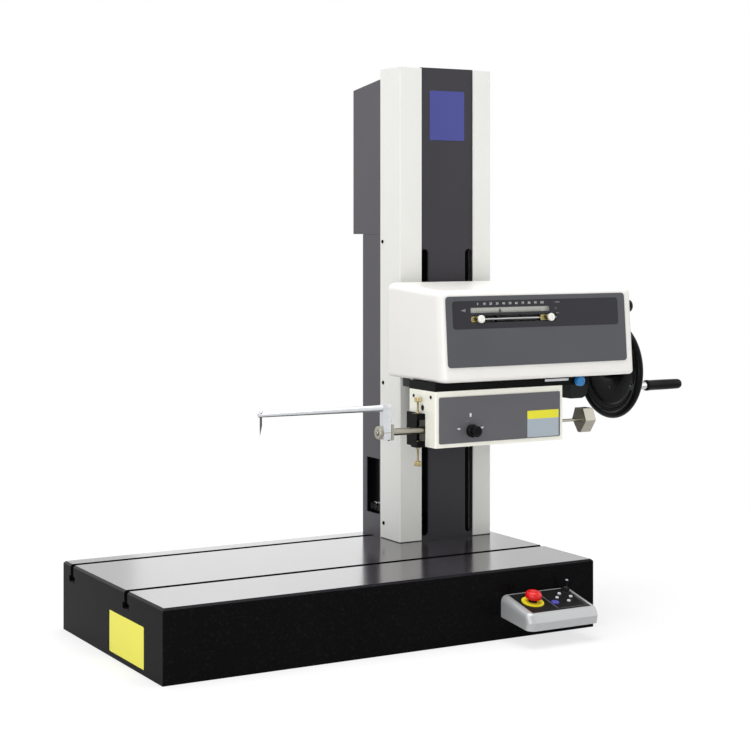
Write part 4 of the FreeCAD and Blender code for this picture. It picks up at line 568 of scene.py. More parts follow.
def modified(piece, kind, **settings):
    """Adds a modifier and applies it."""
    pick(piece)
    bpy.ops.object.modifier_add(type=kind)
    modifier = piece.modifiers[-1]
    for key, value in settings.items():
        setattr(modifier, key, value)
    bpy.ops.object.modifier_apply(modifier=modifier.name)
    return piece


def bevelled(piece, width, segments=2):
    """Rounds every sharp edge by a width in millimetres."""
    settings = dict(segments=segments, limit_method="ANGLE", angle_limit=radians(40))
    return modified(piece, "BEVEL", width=width * MM, **settings)


def cut(piece, *cutters):
    """Takes the cutters out of a piece and deletes them."""
    for cutter in cutters:
        modified(piece, "BOOLEAN", operation="DIFFERENCE", object=cutter, solver="EXACT")
        pick(cutter)
        bpy.ops.object.delete()
    return closed(piece)


def joined(name, pieces):
    """One piece of several."""
    pick(pieces[0])
    for piece in pieces:
        piece.select_set(True)
    bpy.ops.object.join()
    return named(name)


def placed(piece, matrix):
    """Sets a piece's place into its mesh."""
    pick(piece)
    piece.matrix_world = matrix
    bpy.ops.object.transform_apply()
    return piece


def copied(piece, name, matrix):
    """A copy with its own mesh, set into a place."""
    pick(piece)
    bpy.ops.object.duplicate(linked=False)
    return placed(named(name), matrix)


def spread(piece, name, matrices):
    """Copies of a piece at several places as one piece; the first one is used up."""
    copies = [copied(piece, f"{name}_{number}", matrix) for number, matrix in enumerate(matrices)]
    pick(piece)
    bpy.ops.object.delete()
    return joined(name, copies)


def block(name, low, high, edge=0.0, segments=2):
    """A block between two corners in millimetres, its edges rounded."""
    centre = (Vector(low) + Vector(high)) / 2 * MM
    size = (Vector(high) - Vector(low)) * MM
    piece = started(bpy.ops.mesh.primitive_cube_add, name, size=1, location=centre, scale=size)
    bpy.ops.object.transform_apply()
    return bevelled(piece, edge, segments) if edge else piece


def plate(name, low, high, corner, edge=0.0):
    """A thin plate on its back between two corners, rounded at its four corners."""
    piece = block(name, low, high)
    points = piece.data.vertices

    def upright(part):
        along = points[part.vertices[0]].co - points[part.vertices[1]].co
        return hypot(along.x, along.y) < TINY

    mark(piece, "EDGE", upright)
    bpy.ops.mesh.bevel(offset=corner * MM, segments=6, affect="EDGES")
    bpy.ops.object.mode_set(mode="OBJECT")
    return bevelled(piece, edge, 1) if edge else piece


def rod(name, radius, low, high, x=0.0, y=0.0, steps=32):
    """An upright round bar, mostly used as a cutter."""
    place = Vector((x, y, (low + high) / 2)) * MM
    size = dict(vertices=steps, radius=radius * MM, depth=(high - low) * MM)
    return started(bpy.ops.mesh.primitive_cylinder_add, name, location=place, **size)


def arc(radius, height, size, start, end, count):
    """Points of an arc in an outline, from one angle to another in degrees."""
    points = []
    for number in range(count + 1):
        angle = radians(start + (end - start) * number / count)
        points.append((radius + size * cos(angle), height + size * sin(angle)))
    return points


def spun(name, outline, steps=48, angle=2 * pi):
    """A turned shape: (radius, height) points in millimetres spun about the upright axis."""
    piece = started(bpy.ops.mesh.primitive_plane_add, name, size=MM)
    bpy.ops.object.mode_set(mode="EDIT")
    bpy.ops.mesh.select_mode(type="VERT")
    bpy.ops.mesh.select_all(action="SELECT")
    bpy.ops.mesh.merge(type="CENTER")
    reached = Vector()
    for number, (radius, height) in enumerate(outline):
        move = Vector((radius, 0, height)) * MM - reached
        reached += move
        if number == 0:
            bpy.ops.transform.translate(value=move)
        else:
            bpy.ops.mesh.extrude_vertices_move(TRANSFORM_OT_translate={"value": move})
    bpy.ops.mesh.select_all(action="SELECT")
    bpy.ops.mesh.spin(steps=steps, angle=angle, center=(0, 0, 0), axis=(0, 0, 1))
    bpy.ops.mesh.select_all(action="SELECT")
    bpy.ops.mesh.remove_doubles(threshold=TINY)
    bpy.ops.mesh.fill_holes(sides=0)
    return closed(piece)


def shaft(name, radius, low, high):
    """A plain turned shaft."""
    return spun(name, [(0, low), (radius, low), (radius, high), (0, high)], 24)


def ribbed(name, radius, depth, count, steps):
    """A fluted or knurled shape drawn up through (height, share of the radius) steps."""
    circle = dict(vertices=4 * count, radius=radius * MM, fill_type="NGON")
    piece = started(bpy.ops.mesh.primitive_circle_add, name, **circle)
    mark(piece, "VERT", lambda point: point.index % 4 > 1)
    share = 1 - depth / radius
    bpy.ops.transform.resize(value=(share, share, 1), center_override=(0, 0, 0))
    bpy.ops.mesh.select_all(action="SELECT")
    height, width = 0.0, 1.0
    for number, (next_height, next_width) in enumerate(steps):
        rise = (0, 0, (next_height - height) * MM)
        if number == 0:
            bpy.ops.transform.translate(value=rise)
        else:
            bpy.ops.mesh.extrude_region_move(TRANSFORM_OT_translate={"value": rise})
        grow = next_width / width
        bpy.ops.transform.resize(value=(grow, grow, 1), center_override=(0, 0, next_height * MM))
        height, width = next_height, next_width
    return closed(piece)


def socket_screw(name, radius, height):
    """A socket head cap screw's head."""
    outline = [(0, 0), (radius, 0), (radius, height - 0.2 * radius), (0.85 * radius, height), (0, height)]
    hexagon = rod("hexagon", 0.55 * radius, 0.4 * height, 2 * height, steps=6)
    return cut(spun(name, outline, 32), hexagon)


def pan_screw(name, radius, height):
    """A pan head screw's head with a cross in it."""
    outline = [(0, 0), (radius, 0), (radius, 0.35 * height), (0.85 * radius, 0.7 * height)]
    outline += [(0.5 * radius, 0.95 * height), (0, height)]
    wide, slim = 0.55 * radius, 0.1 * radius
    cross = [
        block("cross", (-x, -y, 0.5 * height), (x, y, 2 * height)) for x, y in ((wide, slim), (slim, wide))
    ]
    return cut(spun(name, outline, 24), *cross)


def written(name, words, size, thick):
    """Plain numbers as a thin raised mesh, centred on their middle."""
    text = started(bpy.ops.object.text_add, name).data
    text.body = words
    text.size = size * MM
    text.extrude = thick / 2 * MM
    text.align_x = "CENTER"
    text.align_y = "CENTER"
    text.resolution_u = 3
    bpy.ops.object.convert(target="MESH")
    return closed(named(name))


# Ways a face can point, as the directions of its right, its up and its outward side
WAYS = {
    "front": ((1, 0, 0), (0, 0, 1), (0, -1, 0)),
    "left": ((0, -1, 0), (0, 0, 1), (-1, 0, 0)),
    "right": ((0, 1, 0), (0, 0, 1), (1, 0, 0)),
    "top": ((1, 0, 0), (0, 1, 0), (0, 0, 1)),
    "under": ((1, 0, 0), (0, -1, 0), (0, 0, -1)),
    "cover": ((1, 0, 0), (0, sin(LEAN), cos(LEAN)), (0, -cos(LEAN), sin(LEAN))),
    "box": ((1, 0, 0), (0, cos(BOX_TILT), sin(BOX_TILT)), (0, -sin(BOX_TILT), cos(BOX_TILT))),
}

# Lower edge of the cover's front and front edge of the control box's top
ORIGINS = {"cover": (0, -106.5, 316), "box": (0, -158.5, 55)}


def at(way, x=0.0, y=0.0, z=0.0, turn=0.0):
    """The place of a piece that is drawn lying on its back, at a point in millimetres."""
    matrix = Matrix(WAYS[way]).transposed().to_4x4()
    matrix.translation = Vector((x, y, z)) * MM
    return matrix @ Matrix.Rotation(turn, 4, "Z")


def on(way, x=0.0, y=0.0, out=0.0, turn=0.0):
    """The place of a piece on the cover's front or the box's top, by its distances right, up and out."""
    right, up, outward = (Vector(side) for side in WAYS[way])
    return at(way, *(Vector(ORIGINS[way]) + right * x + up * y + outward * out), turn)


def up_cover(z):
    """Distance up the cover's leaning front of a height."""
    return (z - ORIGINS["cover"][2]) / cos(LEAN)


def fit(piece, body, finish_name, *replaced, place=None):
    """Places and smooths a piece, gives it its finish, and says what it rides on and replaces."""
    if place is not None:
        placed(piece, place)
    pick(piece)
    bpy.ops.object.shade_smooth_by_angle(angle=SMOOTH_ANGLE)
    piece.data.materials.clear()
    piece.data.materials.append(finish(finish_name))
    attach(piece, body)
    if replaced:
        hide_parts(*replaced)


class MACHINE_OT_finishes(Operator):
    """Builds the effects that the finishes share"""

    bl_idname = "machine.finishes"
    bl_label = "Build Finishes"

    def execute(self, context):
        build_skin_group()
        build_edge_group()
        build_dust_group()
        build_stone_group()
        build_drawn_group()
        return {"FINISHED"}


class MACHINE_OT_base(Operator):
    """Dresses the stone base and adds its plain end plate"""

    bl_idname = "machine.base"
    bl_label = "Base"

    def execute(self, context):
        dress("black_stone", "base_block")
        label = plate("base_end_plate", (0, 6.5, 0), (105, 55.5, 0.25), 1.5, 0.1)
        fit(label, "root", "plate_yellow", place=at("left", BASE_LEFT))
        return {"FINISHED"}


class MACHINE_OT_column(Operator):
    """Dresses the column's shells, panel and rear covers and adds their small fittings"""

    bl_idname = "machine.column"
    bl_label = "Column"

    def execute(self, context):
        dress("white_shell", "column_shell_left", "column_shell_right", "column_top_cap")
        dress("column_panel", "column_front_panel")
        dress("rear_cover", "rear_cover_lower", "rear_cover_upper")
        dress("black_anodised", "connector_panel")
        badge = plate("column_badge", (187.8, 631.5, 0), (243.9, 699, 0.4), 1.0, 0.15)
        fit(badge, "root", "plate_blue", place=at("front", y=COLUMN_FRONT))
        self.seams()
        self.screws_and_rings()
        return {"FINISHED"}

    def seams(self):
        """Black strips of painted shade: in the gap between the rear covers, round the column's foot and on
        the inner sides of its slits.
        """
        low, high = 502.5, 503
        # Black strips filling the gap between the rear covers: painted shade in the seam.
        seam_shade_strips = [
            block("cover_seam", (139.7, 106.6, low), (140.7, 154.1, high)),
            block("cover_seam", (285, 106.6, low), (286, 154.1, high)),
            block("cover_seam", (140.8, 153.1, low), (284.9, 154.1, high)),
        ]
        fit(joined("cover_seam", seam_shade_strips), "root", "rubber")
        # Thin black sheets on the slits' inner sides: painted shade where the slits look into the column.
        shade_liners = [block("slit_liner", (x, 57, 93), (x + 0.18, 63.8, 483)) for x in (173.7, 257.42)]
        # A black strip round the column's foot: a painted shadow where the shells stand on the base.
        foot = plate("column_foot_seam", (139.15, 54.75, 87), (286.55, 106.4, 88), 2.1)
        cut(foot, block("foot_inside", (140.6, 56.2, 86), (285.1, 108, 89)))
        fit(joined("column_foot_seam", [foot, *shade_liners]), "root", "rubber")

    def screws_and_rings(self):
        """Screws at the shells' sides and rings round the connectors."""
        heights = ((100.5, 493), (97.5, 108), (99, 300))
        places = [at(way, x, y, z) for y, z in heights for way, x in COLUMN_SIDES]
        fit(spread(pan_screw("shell_screw", 2.6, 1.5), "shell_screws", places), "root", "black_screw")
        ring = spun("plug_ring", [(4.55, 0), (6, 0), (6, 0.7), (5.6, 1.1), (4.55, 1.1), (4.55, 0)], 32)
        places = [at("left", 149, 126.35 + shift, 126) for shift in (-10, 0, 10)]
        fit(spread(ring, "plug_rings", places), "root", "satin_alloy")


class MACHINE_OT_height_drive(Operator):
    """Dresses the column's inner frame, guides, motor and carriage"""

    bl_idname = "machine.height_drive"
    bl_label = "Height Drive"

    def execute(self, context):
        dress("casting", "column_frame")
        dress("rail_dark", "z_guide_rails")
        dress("rail_steel", "z_screw", "z_bearing_blocks")
        dress("motor_black", "z_drive_motor")
        dress("machined_alloy", "motor_pulley")
        dress("rubber", "drive_belt")
        dress("black_anodised", "z_saddle", "carriage_plate")
        return {"FINISHED"}


class MACHINE_OT_drive_unit(Operator):
    """Dresses the drive unit and adds its scale, limit knobs and side knob"""

    bl_idname = "machine.drive_unit"
    bl_label = "Drive Unit"

    def execute(self, context):
        dress("machined_alloy", "x_beam")
        dress("housing_green", "feed_screw_bearings")
        dress("cover_white", "drive_cover")
        dress("panel_grey", "scale_panel")
        dress("scale_white", "scale_strip")
        dress("bright_steel", "limit_rod", "feed_screw")
        self.inner_band()
        self.scale_lines()
        self.scale_numbers()
        self.arrows()
        self.limit_stop("left", 164.6)
        self.limit_stop("right", 274.2)
        self.side_knob()
        return {"FINISHED"}

    def inner_band(self):
        """Dark field round the scale, with openings for the window and the slot."""
        band = plate("inner_band", (122.5, up_cover(383.3), 1.2), (385, up_cover(419), 1.4), 4.0)
        window = block("window", (150, up_cover(403.6), 0), (273, up_cover(410.4), 3))
        middle = up_cover(RANGE_MIDDLE)
        half = up_cover(400.6) - middle
        left, right = SLOT_ENDS
        slot = block("slot", (left, middle - half, 0), (right, middle + half, 3))
        cut(band, window, slot, *[rod("slot_end", half, 0, 3, x, middle) for x in SLOT_ENDS])
        fit(band, "carriage", "inner_band", place=on("cover"))

    def scale_lines(self):
        """Lines of the scale: one each millimetre, and longer ones each five and ten."""
        left, right, foot = SCALE_ZERO - 0.07, SCALE_ZERO + 0.07, up_cover(403.5) + 0.4
        groups = []
        for name, count, pitch, tall in (("fine", 101, 1, 2.0), ("five", 21, 5, 3.0), ("ten", 11, 10, 4.2)):
            line = block(f"lines_{name}", (left, foot, -2.5), (right, foot + tall, -2.44))
            steps = dict(count=count, use_relative_offset=False, use_constant_offset=True)
            groups.append(modified(line, "ARRAY", constant_offset_displace=(pitch * MM, 0, 0), **steps))
        fit(joined("scale_lines", groups), "carriage", "print_dark", place=on("cover"))

    def scale_numbers(self):
        """Plain numbers over every tenth line."""
        numbers = []
        for number in range(0, 101, 10):
            word = written(f"number_{number}", str(number), 4.2, 0.08)
            numbers.append(placed(word, on("cover", SCALE_ZERO + number, up_cover(414.8), PRINT_OUT)))
        fit(joined("scale_numbers", numbers), "carriage", "print_light")

    def arrows(self):
        """Arrows at the scale's ends and dashes above and below the right one."""
        arrow = placed(rod("scale_arrow", 5, -0.04, 0.04, steps=3), Matrix.Diagonal((0.5, 1, 1, 1)))
        small = copied(arrow, "small_arrow", Matrix.Scale(0.45, 4))
        height = up_cover(407)
        placed(arrow, on("cover", 139.6, height, PRINT_OUT, pi / 2))
        placed(small, on("cover", 283, height, PRINT_OUT, -pi / 2))
        upper = block("upper_dash", (282, up_cover(414.3), 1.4), (289.5, up_cover(415.5), 1.47))
        lower = block("lower_dash", (283.5, up_cover(400.2), 1.4), (287.5, up_cover(401.2), 1.47))
        dashes = placed(joined("dashes", [upper, lower]), on("cover"))
        fit(joined("scale_arrow", [arrow, small, dashes]), "carriage", "print_dim")

    def limit_stop(self, side, x):
        """A travel limit: brass slider on the rod, steel stem and white knob."""
        body = f"limit_{side}"
        middle = up_cover(RANGE_MIDDLE)
        spot = on("cover", x, middle)
        outline = [(0, 1.7), (4.2, 1.7), (5.1, 2.5), (5.1, 4.1), (4.7, 4.8), (4.0, 5.0)]
        outline += [(1.3, 5.0), (1.0, 4.3), (0, 4.3)]
        knob = spun(f"limit_knob_{side}", outline)
        fit(knob, body, "white_plastic", f"limit_slider_{side}", place=spot)
        slider = block(f"limit_block_{side}", (x - 13, middle - 4.2, -9.2), (x + 6, middle + 4.2, -2.8), 0.5)
        bore = placed(rod("bore", 1.8, -20, 20), at("right", x, middle, -6))
        cut(slider, bore, rod("hole", 1.3, -6, 0, x - 9, middle, 24))
        fit(slider, body, "brass", place=on("cover"))
        fit(shaft(f"limit_stem_{side}", 1.6, -2.9, 1.75), body, "bright_steel", place=spot)

    def side_knob(self):
        """Fluted knob on the cover's right end."""
        steps = ((0, 0.94), (0.6, 1), (8.4, 1), (9.8, 0.95), (10.5, 0.86), (10.5, 0.5), (9.9, 0.48))
        fluted = ribbed("side_knob_fluted", 8.5, 0.55, 20, steps)
        knob = joined("side_knob_fluted", [fluted, shaft("side_knob_shaft", 3, -12.8, 0.1)])
        fit(knob, "side_knob", "black_plastic", "side_knob", place=at("right", 412.8, -78.5, 406))


class MACHINE_OT_handwheel(Operator):
    """Turns the handwheel and its grip and dresses the crank's pin"""

    bl_idname = "machine.handwheel"
    bl_label = "Handwheel"

    def execute(self, context):
        dress("bright_steel", "crank_pin")
        rim = arc(63.9, 0, 5.5, 192, 506, 22)
        outline = [(5.05, -12), (10.8, -12), (12.4, -11.4), (13, -10), (13.5, -3), (14.6, -0.2), (17, 0.9)]
        outline += [(30, 1.2), (46.6, 1), (48.6, 0.6), (49.8, -0.5), (51.2, -1), (53.6, -1), (54.1, -1.5)]
        outline += [(55.3, -1.5), (55.8, -1), (57.9, -1.1), *rim, (57.5, 3), (51, 3), (49, 5), (17, 5)]
        outline += [(14.5, 6), (13.5, 8), (12.2, 9), (5.05, 9), (5.05, -12)]
        wheel = spun("handwheel_dished", outline, 96)
        cut(wheel, rod("pin_seat", 4.05, -8, 8, CRANK[0] - WHEEL[1], CRANK[1] - WHEEL[2]))
        fit(wheel, "wheel", "black_phenolic", "handwheel", place=at("right", *WHEEL))
        nut = ribbed("hub_nut", 8, 0, 6, ((0, 1), (3.2, 1), (3.8, 0.92)))
        fit(nut, "wheel", "bright_steel", place=at("left", 430, *WHEEL[1:]))
        outline = [(3.3, 0), (5.6, 0), (5.6, 0.8), (5.1, 1.2), (3.6, 1.2), (3.3, 0.9), (3.3, 0)]
        ring = placed(spun("pin_ring", outline, 32), at("left", 438, *CRANK))
        screw = placed(pan_screw("wheel_screw", 1.9, 1.3), at("left", 443.1, -10.8, 289.2))
        fit(joined("pin_ring", [ring, screw]), "wheel", "dark_steel")
        outline = [(0, 54.4), (4.2, 54.4), (4.2, 0), (5.8, 0), (7.2, 0.9), (7.5, 2.2), (7.5, 4.8), (7.1, 6.6)]
        outline += [(7.1, 30), (6.9, 50), (6.8, 56.5), (6.4, 59.2), (5.4, 60.9), (3.6, 61.5), (0, 61.5)]
        grip = spun("crank_grip_turned", outline)
        fit(grip, "crank", "black_phenolic", "crank_grip", place=at("right", 460, *CRANK))
        return {"FINISHED"}


class MACHINE_OT_slide(Operator):
    """Dresses the horizontal slide and adds its clamp knob and pale strip"""

    bl_idname = "machine.slide"
    bl_label = "Slide"

    def execute(self, context):
        dress("black_anodised", "x_slide_table", "x_slide_band", "scale_pointer")
        dress("bright_steel", "x_bearing_blocks")
        steps = ((0, 0.92), (0.5, 1), (5.6, 1), (6.6, 0.92), (7, 0.82), (7, 0.5), (6.5, 0.46))
        fluted = ribbed("clamp_knob_fluted", 7.0, 0.5, 14, steps)
        knob = joined("clamp_knob_fluted", [fluted, shaft("clamp_shank", 2.5, -14.2, 0.1)])
        fit(knob, "clamp_knob", "blue_plastic", "clamp_knob", place=at("front", 327, -91.3, 309.5))
        label = plate("band_label", (273, 310.4, 0), (311, 313.4, 0.2), 0.5)
        fit(label, "slide", "print_light", place=at("front", y=-91))
        return {"FINISHED"}


class MACHINE_OT_pickup(Operator):
    """Dresses the pickup and adds its selector, plates, marks and stop screws"""

    bl_idname = "machine.pickup"
    bl_label = "Pickup"

    def execute(self, context):
        dress("cream_paint", "pickup_housing")
        dress("pickup_panel", "pickup_front_panel")
        dress("black_anodised", "limit_bracket")
        dress("machined_alloy", "pivot_block")
        dress("brass", "displacement_sensor")
        self.plates()
        self.selector_marks()
        self.selector()
        self.stop_screw("upper", 290.0, "top", 23.1, 275)
        self.stop_screw("lower", 214.0, "under", 26.1, 232)
        places = [at("left", PICKUP_LEFT, -39.5, 296), at("left", PICKUP_LEFT, -80.5, 297)]
        fit(spread(pan_screw("end_screw", 2.2, 1.2), "end_screws", places), "slide", "black_screw")
        # A black disc set back in the hole in the pickup's end: painted shade that darkens the hole.
        outline = [(0, -1.6), (3.9, -1.6), (3.9, -0.4), (3.3, -0.4), (2.9, -0.9), (0, -0.9)]
        plug = spun("access_plug", outline, 32)
        fit(plug, "slide", "black_screw", place=at("left", PICKUP_LEFT, -60.5, 282))
        return {"FINISHED"}

    def plates(self):
        """Plain plates at the right of the grey panel."""
        face = at("front", y=PICKUP_FRONT)
        lower = plate("pickup_plate_lower", (244, 239, 0), (294, 263.1, 0.2), 0.5)
        fit(lower, "slide", "plate_grey", place=face)
        upper = plate("pickup_plate_upper", (244, 262.9, 0), (294, 273.6, 0.22), 0.5)
        fit(upper, "slide", "plate_yellow_small", place=face)

    def round_selector(self, angle):
        """The place of a mark that is turned about the selector by degrees."""
        x, z = SELECTOR
        return at("front", x, PICKUP_FRONT, z, radians(angle))

    def selector_marks(self):
        """Marks for the selector's three places and the arcs between them."""
        marks = []
        for angle, wide, tall, reach in ((-80, 2, 4, 18), (0, 3, 4.8, 20), (80, 2, 4, 18)):
            low, high = (-wide / 2, reach - tall / 2, 0), (wide / 2, reach + tall / 2, 0.12)
            marks.append(placed(block("selector_mark", low, high, 0.05), self.round_selector(angle)))
        fit(joined("selector_marks", marks), "slide", "print_light")
        ring = [(12.8, 0), (13.7, 0), (13.7, 0.1), (12.8, 0.1), (12.8, 0)]
        arcs = []
        for start in (122, 32):
            arcs.append(placed(spun("selector_arc", ring, 12, radians(26)), self.round_selector(start)))
        fit(joined("selector_arcs", arcs), "slide", "print_dim")

    def selector(self):
        """Waisted selector knob with a nick that shows its place."""
        outline = [(0, 0), (7.8, 0), (8.3, 0.5), (8.3, 4.6), (7.6, 5.5), (6.4, 6.2), (6.2, 8.4)]
        outline += [(6.8, 9.4), (7.1, 10.2), (7.1, 13.6), (6.5, 14.2), (5.4, 14.2), (5.1, 13.8), (0, 13.8)]
        turned = spun("selector_knob_turned", outline)
        cut(turned, block("nick", (-0.5, 5.6, 9), (0.5, 8, 15)))
        knob = joined("selector_knob_turned", [turned, shaft("selector_shaft", 3, -9.2, 0.1)])
        fit(knob, "selector", "black_plastic", "selector_knob", place=at("front", 157, -92.5, SELECTOR[1]))

    def stop_screw(self, side, z, way, reach, nut_z):
        """Knurled stop screw with its threads, and the lock nut on its lug."""
        steps = ((0, 0.85), (0.7, 1), (5.2, 1), (6, 0.85), (6, 0.4), (5.6, 0.36))
        head = ribbed(f"stop_head_{side}", 4.8, 0.3, 28, steps)
        turns = [(0, -reach), (1.1, -reach)]
        for number in range(int(reach / 0.8)):
            height = 0.4 - reach + 0.8 * number
            turns += [(1.4, height), (1.15, height + 0.4)]
        turns += [(1.4, 0.05), (0, 0.05)]
        screw = joined(f"stop_screw_{side}_knurled", [head, spun(f"stop_shank_{side}", turns, 16)])
        fit(screw, f"stop_{side}", "nickel", f"stop_screw_{side}", place=at(way, *STOP_AXIS, z))
        nut = ribbed(f"stop_nut_{side}", 2.9, 0, 6, ((0, 0.94), (0.3, 1), (1.7, 1), (2, 0.94)))
        fit(nut, "slide", "nickel", place=at(way, *STOP_AXIS, nut_z))


class MACHINE_OT_stylus_arm(Operator):
    """Dresses the pivoting arm and adds its clamp block, thumb nut and stylus"""

    bl_idname = "machine.stylus_arm"
    bl_label = "Stylus Arm"

    def execute(self, context):
        dress("shaft_steel", "arm_shaft")
        dress("weight_steel", "balance_weight")
        dress("satin_alloy", "stylus_arm")
        self.thumb_nut()
        self.clamp_block()
        self.stylus()
        return {"FINISHED"}

    def thumb_nut(self):
        """Knurled thumb nut with its turned boss."""
        steps = ((0, 0.9), (0.8, 1), (5.1, 1), (6, 0.9), (6, 0.45), (5.5, 0.42))
        knurl = ribbed("thumb_nut_knurled", 8.2, 0.35, 48, steps)
        outline = [(0, 5.3), (3.2, 5.3), (3.2, 6.8), (2.7, 7.3), (1.4, 7.3), (1.2, 6.5), (0, 6.5)]
        nut = joined("thumb_nut_knurled", [knurl, spun("thumb_boss", outline, 32)])
        fit(nut, "thumb", "nut_nickel", "thumb_knob", place=at("left", 41.9, *ARM_AXIS))

    def clamp_block(self):
        """Clamp block with a slit at each bore, and its screws."""
        y, z = ARM_AXIS
        clamp = block("clamp_block_split", (42.2, -65.3, 244.3), (54, -55.7, 289.2), 0.7)
        slits = [block("slit", (41, -66, middle - 0.35), (55, y, middle + 0.35)) for middle in (z, 284.5)]
        fit(cut(clamp, *slits), "arm", "satin_alloy", "clamp_block")
        places = [at("right", 53.9, -62, 268.5), at("under", 51.5, -62.5, 244.4)]
        fit(spread(socket_screw("clamp_screw", 1.5, 1.4), "clamp_screws", places), "arm", "dark_steel")

    def stylus(self):
        """Ground stylus whose point is drawn to one side of its shank."""
        place = at("top", STYLUS_X, ARM_AXIS[0], STYLUS_TIP)
        stylus = spun("stylus_ground", [(0, 0), (0.12, 0.1), (1.45, 12), (1.45, 27.4), (0, 27.4)], 24)
        mark(stylus, "VERT", lambda point: point.co.z < MM)
        bpy.ops.transform.translate(value=(-1.3 * MM, 0, 0))
        fit(closed(stylus), "arm", "dark_steel", "stylus", place=place)
        nub = spun("stylus_nub", [(0, 27.2), (1.9, 27.2), (2, 28.6), (2, 29.6), (1.6, 30), (0, 30)], 24)
        fit(nub, "arm", "satin_alloy", place=place)


class MACHINE_OT_control_box(Operator):
    """Dresses the control box and adds its stop head, marks and the lever's boot"""

    bl_idname = "machine.control_box"
    bl_label = "Control Box"

    def execute(self, context):
        dress("case_silver", "control_box_shell")
        dress("black_plastic", "control_panel", "estop_stem", "jog_lever")
        dress("stop_yellow", "estop_ring")
        dress("key_blue", "button_start")
        dress("key_white", "button_up", "button_down", "button_left", "button_right")
        outline = [(0, 10.55), (2.55, 10.55), (2.55, 5.5), (9.0, 5.5), (10.0, 6.1), (10.45, 7.4), (10.5, 8.8)]
        outline += [(10.35, 10.6), (9.9, 11.8), (9.2, 12.8), (8.6, 13.3), (8.3, 13.25), (8.0, 13.6)]
        outline += [(6.6, 14.35), (4.6, 14.85), (2.6, 15), (0, 15)]
        head = spun("stop_button_head", outline, 64)
        fit(head, "stop_head", "stop_red", "estop_head", place=on("box", *STOP_BUTTON))
        lines = [
            block("panel_line", (207.7, -52, 0), (208.4, -4, 0.12)),
            block("panel_line", (211, -52, 0), (251.6, -51.6, 0.12)),
            block("panel_line", (251.2, -51.4, 0), (251.6, -17, 0.12)),
        ]
        fit(joined("panel_line", lines), "root", "print_dim", place=on("box"))
        self.lever_fittings()
        return {"FINISHED"}

    def lever_fittings(self):
        """Boot on the panel, and the skirt and pale cap that tilt with the lever; the pale cap is a painted
        highlight on the lever's tip.
        """
        place = on("box", *LEVER)
        boot = [(3.35, 0), (5.8, 0), (5.7, 0.7), (4.9, 1.4), (4.5, 2.2), (3.9, 2.6), (3.4, 2.4), (3.35, 0)]
        fit(spun("lever_boot", boot, 32), "root", "rubber", place=place)
        skirt = [(1.45, 4.1), (2.5, 4.1), (2.5, 4.5), (2.1, 4.8), (2.2, 5.4), (1.9, 5.7), (1.9, 6.3)]
        skirt += [(1.45, 6.6), (1.45, 4.1)]
        fit(spun("lever_skirt", skirt, 24), "lever", "rubber", place=place)
        # Pale grey cap on the lever's black tip: a painted highlight.
        cap = spun("lever_cap", arc(0, 13, 2.7, 40, 90, 8) + [(0, 13.6)], 24)
        fit(cap, "lever", "plate_grey", place=place)


def looked_at(tree):
    """1 for the rays that the camera, gloss or glass sends out, and 0 for the others."""
    rays = node(tree, "LightPath").outputs
    seen = maths(tree, "MAXIMUM", rays["Is Camera Ray"], rays["Is Glossy Ray"])
    return maths(tree, "MAXIMUM", seen, rays["Is Transmission Ray"])


def stage_floor(size, floor_colour):
    """A wide pale floor that fades into the white background away from the machine."""
    below = (0, 0, -0.2 * MM)
    floor = started(bpy.ops.mesh.primitive_plane_add, "studio_floor", size=size, location=below)
    bpy.ops.object.transform_apply()
    material = bpy.data.materials.new("studio_floor")
    tree = emptied(material)
    where = node(tree, "TexCoord").outputs["Object"]
    distance = node(tree, "VectorMath", {0: where}, operation="LENGTH").outputs["Value"]
    glow = times(tree, looked_at(tree), ranged(tree, distance, 0.5, 1.3, 0.7, 1.0))
    tint = shaded(tree, full(floor_colour), ranged(tree, noise(tree, where, 3.0, 3.0), 0.3, 0.7, 0.985, 1.0))
    matt = node(tree, "BsdfDiffuse", {"Color": tint}).outputs[0]
    white = node(tree, "Emission", {"Color": full((1, 1, 1)), "Strength": 1.0}).outputs[0]
    mixed = node(tree, "MixShader", {0: glow, 1: matt, 2: white}).outputs[0]
    node(tree, "OutputMaterial", {"Surface": mixed})
    floor.data.materials.append(material)


def stage_world(level):
    """Even room light, white where the camera, gloss or glass looks."""
    world = bpy.data.worlds.new("studio")
    bpy.context.scene.world = world
    tree = emptied(world)
    white = full((1, 1, 1))
    room = node(tree, "Background", {"Color": white, "Strength": level}).outputs[0]
    sky = node(tree, "Background", {"Color": white, "Strength": 1.0}).outputs[0]
    mixed = node(tree, "MixShader", {0: looked_at(tree), 1: room, 2: sky}).outputs[0]
    node(tree, "OutputWorld", {"Surface": mixed})


def stage_lamp(name, power, size, place, target):
    """A square soft lamp turned to a point."""
    data = bpy.data.lights.new(name, "AREA")
    data.energy = power
    data.size = size
    lamp = bpy.data.objects.new(name, data)
    bpy.context.scene.collection.objects.link(lamp)
    lamp.visible_camera = False
    lamp.location = place
    lamp.rotation_euler = (Vector(target) - Vector(place)).to_track_quat("-Z", "Y").to_euler()


def stage_camera(settings):
    """The level camera at the photograph's viewing angle."""
    data = bpy.data.cameras.new("camera")
    data.lens = settings.lens
    data.shift_x = settings.shift_x
    data.shift_y = settings.shift_y
    camera = bpy.data.objects.new("camera", data)
    bpy.context.scene.collection.objects.link(camera)
    camera.location = settings.eye
    camera.rotation_euler = (pi / 2, 0, settings.heading)
    bpy.context.scene.camera = camera


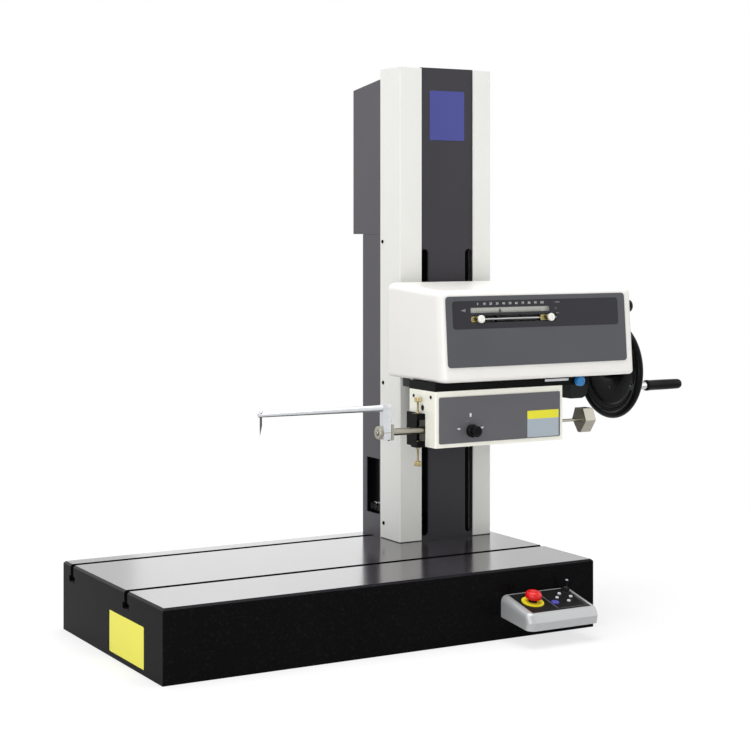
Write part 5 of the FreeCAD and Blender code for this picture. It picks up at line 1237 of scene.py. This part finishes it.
class MACHINE_OT_stage(Operator):
    """Sets the camera, lamps, room light and floor"""

    bl_idname = "machine.stage"
    bl_label = "Stage"

    def execute(self, context):
        scene = context.scene
        settings = scene.machine_stage
        scene.view_settings.view_transform = "Standard"
        stage_camera(settings)
        middle = (0.1, 0, 0.35)
        stage_lamp("key", settings.key_power, 1.4, (-2.1, -0.8, 1.9), middle)
        stage_lamp("fill", settings.fill_power, 1.6, (1.9, -1.0, 1.0), middle)
        stage_lamp("back", settings.fill_power, 1.6, (0.3, 2.0, 1.6), middle)
        stage_lamp("overhead", settings.top_power, 2.0, (0.1, 0.1, 2.4), middle)
        stage_lamp("low_front", settings.front_power, 0.8, (-1.0, -1.4, 0.4), (0.1, 0, 0.15))
        stage_lamp("low_back", settings.low_power, 0.9, (1.0, 1.9, 0.6), (0, 0, 0.1))
        stage_world(settings.room_level)
        stage_floor(settings.floor_size, scene.machine_colours.floor)
        return {"FINISHED"}


STEPS = (
    MACHINE_OT_finishes,
    MACHINE_OT_base,
    MACHINE_OT_column,
    MACHINE_OT_height_drive,
    MACHINE_OT_drive_unit,
    MACHINE_OT_handwheel,
    MACHINE_OT_slide,
    MACHINE_OT_pickup,
    MACHINE_OT_stylus_arm,
    MACHINE_OT_control_box,
    MACHINE_OT_stage,
)


class MACHINE_PT_panel(Panel):
    """Lists the machine's steps, colours and stage settings"""

    bl_idname = "MACHINE_PT_panel"
    bl_label = "Measuring Machine"
    bl_space_type = "VIEW_3D"
    bl_region_type = "UI"
    bl_category = "Measuring"

    def draw(self, context):
        for step in STEPS:
            self.layout.operator(step.bl_idname)
        for group in (context.scene.machine_colours, context.scene.machine_stage):
            for name in group.__annotations__:
                self.layout.prop(group, name)


CLASSES = (MachineColours, StageSettings, *STEPS, MACHINE_PT_panel)


def register():
    """Adds the classes and the scene's settings."""
    for item in CLASSES:
        bpy.utils.register_class(item)
    bpy.types.Scene.machine_colours = PointerProperty(type=MachineColours)
    bpy.types.Scene.machine_stage = PointerProperty(type=StageSettings)


def unregister():
    """Takes the classes and the scene's settings away."""
    del bpy.types.Scene.machine_stage
    del bpy.types.Scene.machine_colours
    for item in reversed(CLASSES):
        bpy.utils.unregister_class(item)


def cleared():
    """Deletes what a new file holds besides the frame."""
    kept = set(frame["nodes"].values()) | set(frame["bodies"].values())
    for thing in [thing for thing in bpy.data.objects if thing not in kept]:
        bpy.data.objects.remove(thing)


def main():
    """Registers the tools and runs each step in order."""
    cleared()
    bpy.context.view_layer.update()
    register()
    for step in STEPS:
        family, name = step.bl_idname.split(".")
        getattr(getattr(bpy.ops, family), name)()


if __name__ == "__main__":
    main()
